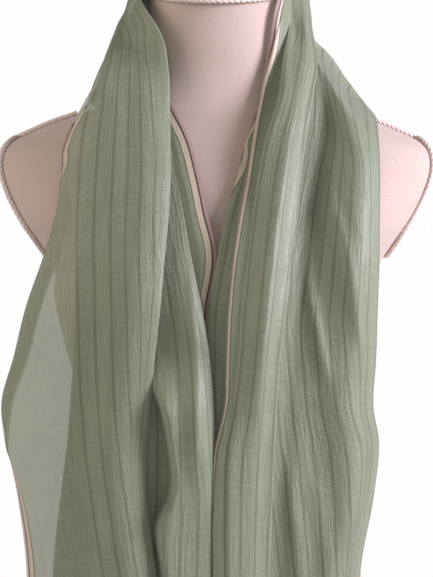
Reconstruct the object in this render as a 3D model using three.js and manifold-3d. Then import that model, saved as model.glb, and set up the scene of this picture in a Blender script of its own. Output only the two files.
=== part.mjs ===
// A sheer chanderi scarf hung round the neck of a linen-covered dress form that stands on a short pole and a round base.
// Millimetres, +Z up, the form faces -Y. The origin is the middle of the base's underside.
// The scarf is one folded strip of cloth, made as three stretches that meet 0.3 mm apart: a fall down each side of
// the chest and the stretch round the back of the neck.
import * as THREE from "three";
import { mergeVertices } from "three/addons/utils/BufferGeometryUtils.js";
import Module from "manifold-3d";

const wasm = await Module();
wasm.setup();

// Driving dimensions
const seat = 0.3; // gap between pieces that touch
const clothThickness = 1.2;
const clothClearance = 0.9; // between the innermost layer and the form
const foldRadius = 6; // from a fold's tip to where its layers run flat
const baseRadius = 140;
const baseHeight = 18;
const poleRadius = 13;
const torsoBottom = 205;
const torsoTop = 912; // before the neck is cut
const cordRadius = 2.4;
const shoulderCordStart = { left: 124, right: 136 }; // from the middle, at the scarf's edge
const neckPlate = { y: -13, z: 881, slope: 0.25 }; // the slanting cut across the neck
const armhole = { topX: 188, topZ: 740, lowX: 151, lowZ: 650 }; // the slanting cut at each arm
const bust = { x: 70, z: 612, wide: 40, high: 44, depth: 9 };

// The form's outline, a row for each level: half its width, and its depth to the front and to the back of its own
// centre line, which leans forward at the neck. square is the power of the superellipse: 2 is an ellipse.
const torsoRows = [
  { z: 205, half: 138, front: 84, back: 88, square: 2.2, lean: 0 },
  { z: 212, half: 149, front: 93, back: 97, square: 2.2, lean: 0 },
  { z: 230, half: 156, front: 99, back: 105, square: 2.2, lean: 0 },
  { z: 290, half: 160, front: 103, back: 112, square: 2.2, lean: 0 },
  { z: 370, half: 145, front: 98, back: 97, square: 2.2, lean: 0 },
  { z: 455, half: 113, front: 82, back: 76, square: 2.2, lean: 0 },
  { z: 520, half: 122, front: 91, back: 82, square: 2.2, lean: 0 },
  { z: 575, half: 137, front: 104, back: 92, square: 2.3, lean: 0 },
  { z: 612, half: 145, front: 111, back: 97, square: 2.3, lean: 0 },
  { z: 645, half: 147, front: 110, back: 101, square: 2.3, lean: 0 },
  { z: 680, half: 177, front: 104, back: 102, square: 2.3, lean: 0 },
  { z: 705, half: 192, front: 96, back: 99, square: 2.3, lean: -1 },
  { z: 730, half: 200, front: 84, back: 92, square: 2.3, lean: -2 },
  { z: 745, half: 194, front: 76, back: 85, square: 2.2, lean: -3 },
  { z: 758, half: 168, front: 69, back: 77, square: 2.1, lean: -4 },
  { z: 767, half: 147, front: 65, back: 72, square: 2, lean: -5 },
  { z: 777, half: 118, front: 62, back: 67, square: 2, lean: -6 },
  { z: 786, half: 98, front: 59, back: 64, square: 2, lean: -7 },
  { z: 798, half: 82, front: 56, back: 61, square: 2, lean: -8 },
  { z: 812, half: 71, front: 54, back: 59, square: 2, lean: -9 },
  { z: 830, half: 63, front: 53, back: 57, square: 2, lean: -11 },
  { z: 850, half: 59.5, front: 52, back: 56, square: 2, lean: -13 },
  { z: 880, half: 58, front: 52, back: 56, square: 2, lean: -16 },
  { z: 912, half: 58, front: 52, back: 56, square: 2, lean: -19 },
];

// The stretch round the neck, a row for each turn from the left shoulder (0) over the back (90) to the right one
// (180). seam, bottom and top are heights on the form under the inner selvedge, the lower fold and the upper fold, and
// flap is the width of the outer layer, from the upper fold to the outer selvedge. hinge is the flap's angle: 0 lies
// down outside, 180 stands up.
const neckRows = [
  { turn: 0, seam: 866, bottom: 782.5, top: 883, flap: 139, hinge: 0 },
  { turn: 30, seam: 868, bottom: 780, top: 884, flap: 146, hinge: 0 },
  { turn: 60, seam: 870, bottom: 776, top: 885, flap: 150, hinge: 0 },
  { turn: 90, seam: 871, bottom: 772, top: 886, flap: 148, hinge: 0 },
  { turn: 120, seam: 870, bottom: 769, top: 886, flap: 92, hinge: 0 },
  { turn: 140, seam: 869, bottom: 769, top: 885, flap: 26, hinge: 10 },
  { turn: 152, seam: 868, bottom: 770, top: 883, flap: 14, hinge: 95 },
  { turn: 166, seam: 866, bottom: 772, top: 880, flap: 13, hinge: 172 },
  { turn: 180, seam: 864, bottom: 775, top: 878, flap: 13, hinge: 180 },
];

// Distances out from the form at the same turns: mid and outer are the two outer layers, bottomOut and topOut the folds
// between them, and swell is how far the middle layer stands off half-way down.
const neckLifts = [
  { turn: 0, bottomOut: 4.2, mid: 6.8, topOut: 9.2, outer: 11.8, swell: 1.5 },
  { turn: 30, bottomOut: 4, mid: 6.4, topOut: 8.8, outer: 11.2, swell: 1.5 },
  { turn: 60, bottomOut: 3.8, mid: 6, topOut: 8.2, outer: 10.5, swell: 1 },
  { turn: 90, bottomOut: 3.8, mid: 6, topOut: 8.2, outer: 10.5, swell: 1 },
  { turn: 120, bottomOut: 4, mid: 6.5, topOut: 9.5, outer: 12.5, swell: 1.5 },
  { turn: 140, bottomOut: 4.5, mid: 7.5, topOut: 10.5, outer: 13.5, swell: 3 },
  { turn: 152, bottomOut: 5, mid: 8, topOut: 10, outer: 13, swell: 5 },
  { turn: 166, bottomOut: 6, mid: 9, topOut: 9, outer: 12, swell: 8 },
  { turn: 180, bottomOut: 6.5, mid: 10, topOut: 8, outer: 12, swell: 9 },
];

// The left fall, a row for each height: how far from the middle of the chest each line lies. selvedge is the inner
// edge, crest the fold of the inner layer beside it, hidden the fold behind the front panel, front the panel's rolled
// edge and outer its far edge. roll is the angle by which the strip along the outer selvedge is turned under, and under
// and crestLift are the distances in front of the form of the two layers that meet in the crest.
const leftRows = [
  { z: 800, selvedge: 44, crest: 50, hidden: 104, front: 38.5, outer: 119, roll: 0, under: 5, crestLift: 8.5 },
  { z: 783, selvedge: 38, crest: 46, hidden: 106, front: 39, outer: 123, roll: 0, under: 5, crestLift: 8.5 },
  { z: 752, selvedge: 23, crest: 40, hidden: 107, front: 38.5, outer: 131, roll: 35, under: 5, crestLift: 8.8 },
  { z: 719, selvedge: 14, crest: 34, hidden: 110, front: 38, outer: 129, roll: 140, under: 5, crestLift: 8.8 },
  { z: 691, selvedge: 8, crest: 28, hidden: 113, front: 39, outer: 135, roll: 180, under: 5, crestLift: 9.5 },
  { z: 654, selvedge: 0, crest: 21, hidden: 116, front: 42, outer: 145, roll: 180, under: 5, crestLift: 10 },
  { z: 609, selvedge: 6, crest: 11.5, hidden: 118, front: 46, outer: 161, roll: 180, under: 5, crestLift: 11 },
  { z: 568, selvedge: 9, crest: 5, hidden: 119.5, front: 50.5, outer: 172, roll: 172, under: 5, crestLift: 12 },
  { z: 527, selvedge: 10, crest: 2, hidden: 122.5, front: 54.5, outer: 184, roll: 140, under: 6, crestLift: 13 },
  { z: 498, selvedge: 10, crest: 0.5, hidden: 125, front: 58, outer: 181, roll: 105, under: 7, crestLift: 15 },
  { z: 453, selvedge: 10, crest: -2.5, hidden: 131, front: 57.5, outer: 170, roll: 55, under: 8, crestLift: 17 },
  { z: 390, selvedge: 12, crest: -2, hidden: 138, front: 50, outer: 161, roll: 15, under: 8, crestLift: 17 },
  { z: 250, selvedge: 14, crest: 1, hidden: 139, front: 51, outer: 163, roll: 0, under: 8, crestLift: 16 },
  { z: 100, selvedge: 16, crest: 3, hidden: 141, front: 54, outer: 165, roll: 0, under: 8, crestLift: 16 },
];

// The right fall, in the same way: rear is the inner fold of the back layer, outer the fold at the arm, valley and
// ridge the pleat that runs down the front layer, and turnIn the fold beside the inner selvedge.
const rightRows = [
  { z: 850, rear: 50, outer: 112, valley: 80, ridge: 76, turnIn: 58, selvedge: 45 },
  { z: 822, rear: 44, outer: 124, valley: 88, ridge: 83, turnIn: 56, selvedge: 42 },
  { z: 800, rear: 38, outer: 131, valley: 92, ridge: 83, turnIn: 55.5, selvedge: 39 },
  { z: 783, rear: 34, outer: 135, valley: 92, ridge: 81, turnIn: 53, selvedge: 36 },
  { z: 752, rear: 25, outer: 135.5, valley: 89, ridge: 76, turnIn: 43, selvedge: 29 },
  { z: 719, rear: 17, outer: 136, valley: 82, ridge: 70.5, turnIn: 36, selvedge: 24 },
  { z: 691, rear: 8, outer: 136, valley: 77, ridge: 66.5, turnIn: 32, selvedge: 19.5 },
  { z: 654, rear: 2.5, outer: 135.5, valley: 72, ridge: 62, turnIn: 27, selvedge: 14 },
  { z: 609, rear: -4, outer: 134, valley: 66, ridge: 57, turnIn: 22, selvedge: 9.5 },
  { z: 568, rear: -0.5, outer: 133, valley: 61, ridge: 52, turnIn: 19, selvedge: 7.5 },
  { z: 527, rear: 3, outer: 131, valley: 58, ridge: 49.5, turnIn: 14, selvedge: 6.5 },
  { z: 498, rear: 5, outer: 136, valley: 56, ridge: 48, turnIn: 8, selvedge: 6.5 },
  { z: 453, rear: 9, outer: 132, valley: 53, ridge: 46, turnIn: 6, selvedge: 16 },
  { z: 390, rear: 9, outer: 121, valley: 50, ridge: 44, turnIn: 6, selvedge: 20 },
  { z: 250, rear: 10, outer: 119, valley: 51, ridge: 45, turnIn: 4, selvedge: 20 },
  { z: 80, rear: 11, outer: 122, valley: 52, ridge: 46, turnIn: 3, selvedge: 18 },
];

// Distances in front of the form of the right fall's back layer, ridge and inner selvedge, and the angles by which the
// strips along its front selvedge (roll) and its hidden one (rearRoll) are turned under.
const rightLifts = [
  { z: 850, rearLift: 3, ridgeLift: 15, selvedgeLift: 6, roll: 0, rearRoll: 0 },
  { z: 822, rearLift: 3, ridgeLift: 16, selvedgeLift: 6, roll: 0, rearRoll: 10 },
  { z: 800, rearLift: 3, ridgeLift: 17, selvedgeLift: 7, roll: 0, rearRoll: 25 },
  { z: 783, rearLift: 4.5, ridgeLift: 18, selvedgeLift: 8, roll: 0, rearRoll: 45 },
  { z: 752, rearLift: 5, ridgeLift: 20, selvedgeLift: 9, roll: 0, rearRoll: 85 },
  { z: 719, rearLift: 5, ridgeLift: 20, selvedgeLift: 10, roll: 0, rearRoll: 125 },
  { z: 691, rearLift: 6, ridgeLift: 20, selvedgeLift: 11, roll: 0, rearRoll: 150 },
  { z: 654, rearLift: 6, ridgeLift: 20, selvedgeLift: 12, roll: 0, rearRoll: 170 },
  { z: 609, rearLift: 6.5, ridgeLift: 19, selvedgeLift: 12, roll: 0, rearRoll: 180 },
  { z: 568, rearLift: 6, ridgeLift: 18.5, selvedgeLift: 12, roll: 5, rearRoll: 180 },
  { z: 527, rearLift: 6, ridgeLift: 18, selvedgeLift: 12, roll: 35, rearRoll: 180 },
  { z: 498, rearLift: 6, ridgeLift: 18, selvedgeLift: 10.5, roll: 65, rearRoll: 180 },
  { z: 453, rearLift: 5, ridgeLift: 17, selvedgeLift: 9.5, roll: 115, rearRoll: 180 },
  { z: 390, rearLift: 4, ridgeLift: 16, selvedgeLift: 9.5, roll: 160, rearRoll: 180 },
  { z: 250, rearLift: 4, ridgeLift: 16, selvedgeLift: 9.5, roll: 180, rearRoll: 180 },
  { z: 80, rearLift: 4, ridgeLift: 16, selvedgeLift: 9.5, roll: 180, rearRoll: 180 },
];

// How far forward the cloth hangs where the form gives it nothing to lie on.
const hangRows = [
  { z: 900, depth: 0 },
  { z: 790, depth: 0 },
  { z: 765, depth: 30 },
  { z: 735, depth: 62 },
  { z: 700, depth: 92 },
  { z: 660, depth: 115 },
  { z: 620, depth: 124 },
  { z: 560, depth: 127 },
  { z: 450, depth: 123 },
  { z: 300, depth: 119 },
  { z: 60, depth: 117 },
];
const hangHalfWidth = 215;

// Distances down a fall from the shoulder at which a ring of the wall lies, before the hem
const ringDrops = [
  0, 2, 5, 9, 14, 20, 27, 35, 44, 54, 66, 80, 97, 118, 145, 175, 208, 243, 280, 312, 338, 362, 388, 430, 500, 590,
];

// Reading a table: a smooth curve through one named column
function valueAt(rows, axis, name, at) {
  const way = rows[0][axis] < rows[rows.length - 1][axis] ? 1 : -1;
  const last = rows.length - 1;
  if ((at - rows[0][axis]) * way <= 0) return rows[0][name];
  if ((at - rows[last][axis]) * way >= 0) return rows[last][name];
  let i = 0;
  while ((at - rows[i + 1][axis]) * way > 0) i++;
  const slope = (a, b) => (rows[b][name] - rows[a][name]) / (rows[b][axis] - rows[a][axis]);
  const span = rows[i + 1][axis] - rows[i][axis];
  const here = slope(i, i + 1);
  const before = i > 0 ? (slope(i - 1, i) + here) / 2 : here;
  const after = i + 1 < last ? (here + slope(i + 1, i + 2)) / 2 : here;
  const t = (at - rows[i][axis]) / span;
  return (
    rows[i][name] * (1 + 2 * t) * (1 - t) ** 2 +
    rows[i + 1][name] * t * t * (3 - 2 * t) +
    span * (before * t * (1 - t) ** 2 - after * t * t * (1 - t))
  );
}

const mix = THREE.MathUtils.lerp;
const ease = (x) => THREE.MathUtils.smoothstep(x, 0, 1);

// The form's surface
function torsoLevel(z) {
  const read = (name) => valueAt(torsoRows, "z", name, z);
  return { half: read("half"), front: read("front"), back: read("back"), square: read("square"), lean: read("lean") };
}

function bustDepth(x, z) {
  return bust.depth * Math.exp(-(((Math.abs(x) - bust.x) / bust.wide) ** 2) - ((z - bust.z) / bust.high) ** 2);
}

// How far the surface lies in front of the centre line, 0 beside the form
function frontDepth(x, z) {
  const level = torsoLevel(z);
  const across = Math.abs(x) / level.half;
  if (across >= 1) return 0;
  const round = (1 - across ** level.square) ** (1 / level.square);
  return level.front * round + bustDepth(x, z) * round;
}

// The distance from the centre line to the surface in the direction of a turn from the left shoulder over the back
function backRadius(turn, z) {
  const level = torsoLevel(z);
  const across = Math.abs(Math.cos(turn)) / level.half;
  const along = Math.abs(Math.sin(turn)) / level.back;
  return (across ** level.square + along ** level.square) ** (-1 / level.square);
}

// The height at which the shoulder is this far out
function shoulderHeight(x) {
  let low = 745;
  let high = torsoTop;
  while (high - low > 0.01) {
    const z = (low + high) / 2;
    if (torsoLevel(z).half > x) low = z;
    else high = z;
  }
  return low;
}

// Closed meshes from rings of points
function faces(rows, columns, wrap) {
  const list = [];
  for (let r = 0; r + 1 < rows; r++) {
    for (let c = 0; c + (wrap ? 0 : 1) < columns; c++) {
      const next = (c + 1) % columns;
      const [a, b] = [r * columns + c, r * columns + next];
      const [d, e] = [a + columns, b + columns];
      list.push(a, b, e, a, e, d);
    }
  }
  return list;
}

function meshOf(points, index) {
  const geometry = new THREE.BufferGeometry().setFromPoints(points).setIndex(index);
  let volume = 0;
  for (let i = 0; i < index.length; i += 3) {
    const [a, b, c] = [points[index[i]], points[index[i + 1]], points[index[i + 2]]];
    volume += a.dot(new THREE.Vector3().crossVectors(b, c));
  }
  if (volume < 0) {
    for (let i = 0; i < index.length; i += 3) [index[i + 1], index[i + 2]] = [index[i + 2], index[i + 1]];
    geometry.setIndex(index);
  }
  return geometry;
}

// A solid through closed rings of one length, with a fan over each end
function loft(rings) {
  const columns = rings[0].length;
  const points = rings.flat();
  const index = faces(rings.length, columns, true);
  for (const [ring, turned] of [[0, true], [rings.length - 1, false]]) {
    const middle = points.length;
    points.push(rings[ring].reduce((sum, p) => sum.add(p), new THREE.Vector3()).divideScalar(columns));
    for (let c = 0; c < columns; c++) {
      const [a, b] = [ring * columns + c, ring * columns + ((c + 1) % columns)];
      index.push(middle, turned ? b : a, turned ? a : b);
    }
  }
  return meshOf(points, index);
}

// A cloth wall: a grid of points on the middle of the cloth, given its thickness and closed along its four edges. Where
// its first or last row meets another stretch, that row's thickness lies square to the meeting face.
function wall(grid, squareFirst, squareLast) {
  const rows = grid.length;
  const columns = grid[0].length;
  const cells = [];
  for (let r = 0; r + 1 < rows; r++) {
    cells.push([]);
    for (let c = 0; c + 1 < columns; c++) {
      const one = new THREE.Vector3().subVectors(grid[r + 1][c + 1], grid[r][c]);
      const other = new THREE.Vector3().subVectors(grid[r + 1][c], grid[r][c + 1]);
      cells[r].push(other.cross(one).normalize());
    }
  }
  const sides = [[], []];
  for (let r = 0; r < rows; r++) {
    for (let c = 0; c < columns; c++) {
      const normal = new THREE.Vector3();
      for (const i of [r - 1, r]) for (const j of [c - 1, c]) if (cells[i]?.[j]) normal.add(cells[i][j]);
      if ((r === 0 && squareFirst) || (r === rows - 1 && squareLast)) normal.y = 0;
      normal.normalize();
      sides[0].push(grid[r][c].clone().addScaledVector(normal, clothThickness / 2));
      sides[1].push(grid[r][c].clone().addScaledVector(normal, -clothThickness / 2));
    }
  }
  const one = faces(rows, columns, false);
  const count = rows * columns;
  const other = [];
  for (let i = 0; i < one.length; i += 3) other.push(one[i] + count, one[i + 2] + count, one[i + 1] + count);
  const rim = [];
  for (let c = 0; c < columns; c++) rim.push(c);
  for (let r = 1; r < rows; r++) rim.push(r * columns + columns - 1);
  for (let c = columns - 2; c >= 0; c--) rim.push((rows - 1) * columns + c);
  for (let r = rows - 2; r > 0; r--) rim.push(r * columns);
  const edge = rim.flatMap((a, i) => {
    const b = rim[(i + 1) % rim.length];
    return [b, a, a + count, b, a + count, b + count];
  });
  return meshOf([...sides[0], ...sides[1]], [...one, ...other, ...edge]);
}

// The torso, cut level across the neck and at each arm
function toSolid(geometry) {
  const bare = geometry.clone();
  for (const name of ["normal", "uv"]) bare.deleteAttribute(name);
  const merged = mergeVertices(bare, 1e-3);
  return new wasm.Manifold(
    new wasm.Mesh({
      numProp: 3,
      vertProperties: new Float32Array(merged.attributes.position.array),
      triVerts: new Uint32Array(merged.index.array),
    }),
  );
}

function toGeometry(solid) {
  const mesh = solid.getMesh();
  return new THREE.BufferGeometry()
    .setAttribute("position", new THREE.BufferAttribute(mesh.vertProperties, 3))
    .setIndex(new THREE.BufferAttribute(mesh.triVerts, 1));
}

const armholeRun = (armhole.topX - armhole.lowX) / (armhole.topZ - armhole.lowZ);
const armholeX = (z) => armhole.lowX + armholeRun * (z - armhole.lowZ);

function torsoGeometry() {
  const around = 36;
  const levels = [
    205, 208, 212, 220, 235, 260, 290, 330, 370, 412, 455, 490, 525, 555, 580, 600, 622, 640, 650, 657, 668, 684,
    702, 720, 735, 745, 752, 758, 763, 768, 773, 778, 784, 791, 800, 811, 824, 840, 860, torsoTop,
  ];
  const rings = levels.map((z) => {
    const level = torsoLevel(z);
    return Array.from({ length: around }, (_, i) => {
      const angle = (2 * Math.PI * i) / around;
      const power = (v) => Math.sign(v) * Math.abs(v) ** (2 / level.square);
      const x = level.half * power(Math.cos(angle));
      const share = power(Math.sin(angle));
      const depth = share < 0 ? level.front + bustDepth(x, z) : level.back;
      return new THREE.Vector3(x, level.lean + depth * share, z);
    });
  });
  let solid = toSolid(loft(rings));
  const block = 400;
  const away = (geometry, place, tilt) => {
    geometry.applyMatrix4(new THREE.Matrix4().makeRotationFromEuler(tilt));
    geometry.translate(place.x, place.y, place.z);
    solid = solid.subtract(toSolid(geometry));
  };
  const cap = new THREE.BoxGeometry(block, block, block).translate(0, 0, block / 2);
  away(cap, new THREE.Vector3(0, neckPlate.y, neckPlate.z), new THREE.Euler(Math.atan(neckPlate.slope), 0, 0));
  for (const side of [-1, 1]) {
    const outline = new THREE.Shape();
    outline.moveTo(armholeX(armhole.lowZ), armhole.lowZ);
    outline.lineTo(block, armhole.lowZ);
    outline.lineTo(block, 820);
    outline.lineTo(armholeX(820), 820);
    const cut = new THREE.ExtrudeGeometry(outline, { depth: block, bevelEnabled: false }).translate(0, 0, -block / 2);
    cut.applyMatrix4(new THREE.Matrix4().makeRotationX(Math.PI / 2));
    const turn = side < 0 ? Math.PI : 0;
    away(cut, new THREE.Vector3(), new THREE.Euler(0, 0, turn));
  }
  return toGeometry(solid);
}

// Cords that trim the form's edges, each lying just clear of it
const cordOut = cordRadius + seat;

function neckCordPath() {
  const points = [];
  for (let i = 0; i < 24; i++) {
    const angle = (2 * Math.PI * i) / 24;
    const level = torsoLevel(neckPlate.z);
    const x = (level.half + cordOut * 0.8) * Math.cos(angle);
    const depth = (Math.sin(angle) < 0 ? level.front : level.back) + cordOut * 0.8;
    const y = level.lean + depth * Math.sin(angle);
    points.push(new THREE.Vector3(x, y, neckPlate.z + neckPlate.slope * (y - neckPlate.y) + cordOut * 0.8));
  }
  return new THREE.CatmullRomCurve3(points, true);
}

function armholeCordPath(side) {
  const isOpen = (z) => torsoLevel(z).half > armholeX(z);
  let low = armhole.lowZ;
  while (low < armhole.topZ && !isOpen(low)) low += 0.1;
  let high = armhole.topZ - 30;
  while (high < torsoTop && isOpen(high)) high += 0.1;
  const normal = new THREE.Vector3(1, 0, -armholeRun).normalize();
  const count = 28;
  const points = Array.from({ length: count }, (_, i) => {
    const angle = (2 * Math.PI * i) / count;
    const z = mix(low, high, (1 - Math.cos(angle)) / 2);
    const level = torsoLevel(z);
    const across = Math.min(armholeX(z) / level.half, 1);
    const round = (1 - across ** level.square) ** (1 / level.square);
    const y = level.lean + (Math.sin(angle) < 0 ? -level.front : level.back) * round;
    const p = new THREE.Vector3(armholeX(z), y, z).addScaledVector(normal, cordOut + 0.1);
    return p.setX(side * p.x);
  });
  return new THREE.CatmullRomCurve3(points, true);
}

function shoulderCordPath(name, side) {
  const points = [];
  for (let x = shoulderCordStart[name]; x <= 176; x += 8) {
    const z = shoulderHeight(x);
    points.push(new THREE.Vector3(side * x, torsoLevel(z).lean, z + cordOut + 0.6));
  }
  return new THREE.CatmullRomCurve3(points);
}

// The form's profile in the upright plane at a turn, from under the arm to the neck: how far out it lies at each height
// and its outward direction there
const profileStep = 1.5;

function profile(turnDegrees) {
  const turn = THREE.MathUtils.degToRad(turnDegrees);
  const list = [];
  for (let z = torsoTop; z > 700; z -= profileStep) list.push({ z, r: backRadius(turn, z) });
  list.forEach((p, i) => {
    const [above, below] = [list[Math.max(i - 1, 0)], list[Math.min(i + 1, list.length - 1)]];
    const length = Math.hypot(below.r - above.r, below.z - above.z);
    p.out = { r: (above.z - below.z) / length, z: (below.r - above.r) / length };
    p.s = i === 0 ? 0 : above.s + Math.hypot(p.r - above.r, p.z - above.z);
  });
  return list;
}

// A place on a profile at a length s down it
function along(list, s) {
  const found = list.findIndex((p) => p.s > s);
  const i = found < 0 ? list.length - 1 : Math.max(found, 1);
  const [a, b] = [list[i - 1], list[i]];
  const t = (s - a.s) / (b.s - a.s);
  const out = { r: mix(a.out.r, b.out.r, t), z: mix(a.out.z, b.out.z, t) };
  return { r: mix(a.r, b.r, t), z: mix(a.z, b.z, t), out };
}

// The stretch round the neck: its section at one turn, from the inner selvedge to the outer one, as lengths s down the
// form's profile and distances n out from it
const neckShares = [
  0, 0.12, 0.3, 0.5, 0.7, 0.85, 0.95, 1, 1.05, 1.15, 1.3, 1.5, 1.7, 1.85, 1.95, 2, 2.05, 2.2, 2.4, 2.6, 2.8, 3,
];
const turnBack = 5; // from the middle of a fold's tip to where its two layers lie at their own distances

function neckSection(list, turnDegrees) {
  const read = (name) => valueAt(name in neckRows[0] ? neckRows : neckLifts, "turn", name, turnDegrees);
  const inner = clothClearance + clothThickness / 2;
  const lengthAt = (name) => list.find((p) => p.z <= read(name)).s;
  const [seam, bottom, top] = ["seam", "bottom", "top"].map(lengthAt);
  const hinge = THREE.MathUtils.degToRad(read("hinge"));
  const tip = (distance) => Math.exp(-((distance / turnBack) ** 2));
  return neckShares.map((share) => {
    if (share <= 1) {
      const s = mix(seam, bottom, share);
      return { share, s, n: mix(inner, read("bottomOut"), tip(bottom - s)) };
    }
    if (share <= 2) {
      const s = mix(bottom, top, share - 1);
      const flat = read("mid") + read("swell") * Math.sin(Math.PI * (share - 1)) ** 2;
      return { share, s, n: mix(mix(flat, read("bottomOut"), tip(bottom - s)), read("topOut"), tip(s - top)) };
    }
    const reach = read("flap") * (share - 2);
    const outside = (read("outer") - read("topOut")) * (1 - tip(reach)) * Math.max(0, Math.cos(hinge));
    return { share, s: top + reach * Math.cos(hinge), n: read("topOut") + reach * Math.sin(hinge) + outside };
  });
}

function neckGrid() {
  const step = (seat / 2 / 75) * (180 / Math.PI); // half a seat at the outer layer
  const turns = [step];
  for (let turn = 11.25; turn < 180; turn += 11.25) turns.push(turn);
  turns.push(180 - step);
  return turns.map((turnDegrees) => {
    const list = profile(turnDegrees);
    const turn = THREE.MathUtils.degToRad(turnDegrees);
    return neckSection(list, turnDegrees).map(({ s, n }) => {
      const foot = along(list, s);
      const r = foot.r + foot.out.r * n;
      const y = torsoLevel(foot.z).lean + r * Math.sin(turn);
      return new THREE.Vector3(-r * Math.cos(turn), y, foot.z + foot.out.z * n);
    });
  });
}

// A fold of a layer that turns back at a tip: the layer coming in, the tip, and the layer going out
function fold(tip, towards, liftIn, liftOut, room = 2.5 * foldRadius) {
  const back = tip - towards * Math.min(foldRadius, 0.4 * room);
  return [
    { out: back, lift: liftIn },
    { out: tip, lift: (liftIn + liftOut) / 2 },
    { out: back, lift: liftOut },
  ];
}

const hemFlap = { width: 12, parting: 4, bulge: 0.5 }; // the strip along the left fall's outer selvedge
const borderFlap = { width: 13, parting: 3.5, bulge: 0.25 }; // the strip along the right fall's front selvedge
const rearFlap = { width: 14, parting: 2.6, bulge: 0.15 }; // the strip along the right fall's hidden selvedge

// The strip along a selvedge, turned under by an angle: 0 lies flat and 180 is folded back behind
function rolledEdge(edge, towards, lift, rollDegrees, flap) {
  const roll = THREE.MathUtils.degToRad(rollDegrees);
  const hinge = edge - towards * flap.width * Math.max(0, Math.cos(roll));
  const parted = (flap.parting * (1 - Math.cos(roll))) / 2;
  const at = (share) => ({
    out: hinge + towards * flap.width * share * Math.cos(roll),
    lift: lift - parted * Math.min(1, 2 * share) - flap.bulge * flap.width * share * Math.sin(roll),
  });
  return [{ out: hinge - towards * 5, lift }, { out: hinge, lift: lift - parted / 2 }, at(0.5), at(1)];
}

// The lines of the left fall at one height, from the inner selvedge to the outer one
function leftLines(z) {
  const read = (name) => valueAt(leftRows, "z", name, z);
  const [selvedge, crest, hidden, front, outer] = ["selvedge", "crest", "hidden", "front", "outer"].map(read);
  const [rear, rearMid, mid, panel] = [1, 6.5, 11.5, 16.5];
  const turned = Math.max(crest, selvedge) + 16; // the inner layer's fold behind the crest
  const panelAt = (share, lift) => ({ out: mix(front, outer, share), lift });
  const middleAt = (share, lift) => ({ out: mix(crest, hidden, share), lift });
  return [
    { out: selvedge, lift: rear },
    { out: mix(selvedge, turned, 0.35), lift: rear },
    ...fold(turned, 1, rear, read("under") - 0.6),
    ...fold(crest, -1, read("under") + 0.6, read("crestLift")),
    middleAt(0.3, mix(read("crestLift"), rearMid, 0.6)),
    middleAt(0.62, mix(read("crestLift"), rearMid, 0.9)),
    ...fold(hidden, 1, rearMid - 1, mid - 1),
    { out: mix(hidden, front, 0.35), lift: mid },
    { out: mix(hidden, front, 0.7), lift: mid + 0.3 },
    ...fold(front, -1, mid + 0.5, panel + 1),
    panelAt(0.22, panel + 3),
    panelAt(0.42, panel + 1),
    panelAt(0.62, panel + 1),
    panelAt(0.8, panel - 1),
    ...rolledEdge(outer, 1, panel - 2, read("roll"), hemFlap),
  ];
}

// Where each of those lines leaves the shoulder, in the shares of the neck's section
const leftStarts = [
  0, 0.09, 0.18, 0.25, 0.32, 0.39, 0.43, 0.48, 0.64, 0.8, 0.95, 1, 1.05,
  1.35, 1.7, 1.95, 2, 2.05, 2.3, 2.48, 2.64, 2.8, 2.9, 2.94, 2.97, 3,
];

// The lines of the right fall at one height, from the hidden edge of the back layer to the selvedge in front
function rightLines(z) {
  const read = (name) => valueAt(name in rightRows[0] ? rightRows : rightLifts, "z", name, z);
  const [rear, outer, valley, ridge] = ["rear", "outer", "valley", "ridge"].map(read);
  const [turnIn, selvedge] = ["turnIn", "selvedge"].map(read);
  const [rearLift, ridgeLift, selvedgeLift] = ["rearLift", "ridgeLift", "selvedgeLift"].map(read);
  const low = rearLift + 4.5;
  const width = ridge - turnIn;
  const pleat = ridge - 0.42 * width; // the hidden tip under the ridge
  const acrossBack = (share) => ({ out: mix(rear, outer, share), lift: rearLift - 0.5 });
  return [
    ...rolledEdge(rear, -1, rearLift, read("rearRoll"), rearFlap).reverse(),
    acrossBack(0.35),
    acrossBack(0.65),
    ...fold(outer, 1, rearLift, low + 3),
    { out: mix(outer, valley, 0.3), lift: low + 6 },
    { out: mix(outer, valley, 0.65), lift: low + 2 },
    { out: valley, lift: low },
    ...fold(pleat, -1, low, low + 2.9, width),
    ...fold(ridge, 1, low + 4.1, ridgeLift, width),
    { out: mix(ridge, turnIn, 0.5), lift: mix(ridgeLift, selvedgeLift + 4, 0.5) },
    ...rolledEdge(Math.min(turnIn, selvedge), -1, selvedgeLift + 4, read("roll"), borderFlap),
  ];
}

// The same for the right fall
const rightStarts = [
  0, 0.1, 0.2, 0.28, 0.55, 0.75, 0.95, 1, 1.05, 1.2, 1.34, 1.46,
  1.5, 1.54, 1.58, 1.64, 1.68, 1.72, 1.84, 1.95, 2, 2.5, 3,
];

// The section's point at a share, between the ones that it has
function shareAt(section, share) {
  return { s: valueAt(section, "share", "s", share), n: valueAt(section, "share", "n", share) };
}

const shoulderMean = 835; // the height that a fall's lines share once they have levelled out
const levelling = { share: 0.66, over: 220 };
const lifting = 26; // the drop over which the layers part to their own distances
const moving = { from: 8, over: 80 }; // the drops between which a line moves to its own place

// The direction out of the form's front at a place on it
function outward(x, z) {
  const level = torsoLevel(z);
  const [above, below] = [torsoLevel(z + 0.5), torsoLevel(z - 0.5)];
  const a = Math.min(Math.abs(x) / level.half, 1);
  const b = (1 - a ** level.square) ** (1 / level.square);
  const wide = (above.half - below.half) / level.half;
  const deep = (above.front - below.front) / level.front;
  const steep = a ** level.square * wide + b ** level.square * deep;
  const sideways = (Math.sign(x) * a ** (level.square - 1)) / level.half;
  return new THREE.Vector3(sideways, -(b ** (level.square - 1)) / level.front, -steep).normalize();
}

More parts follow.
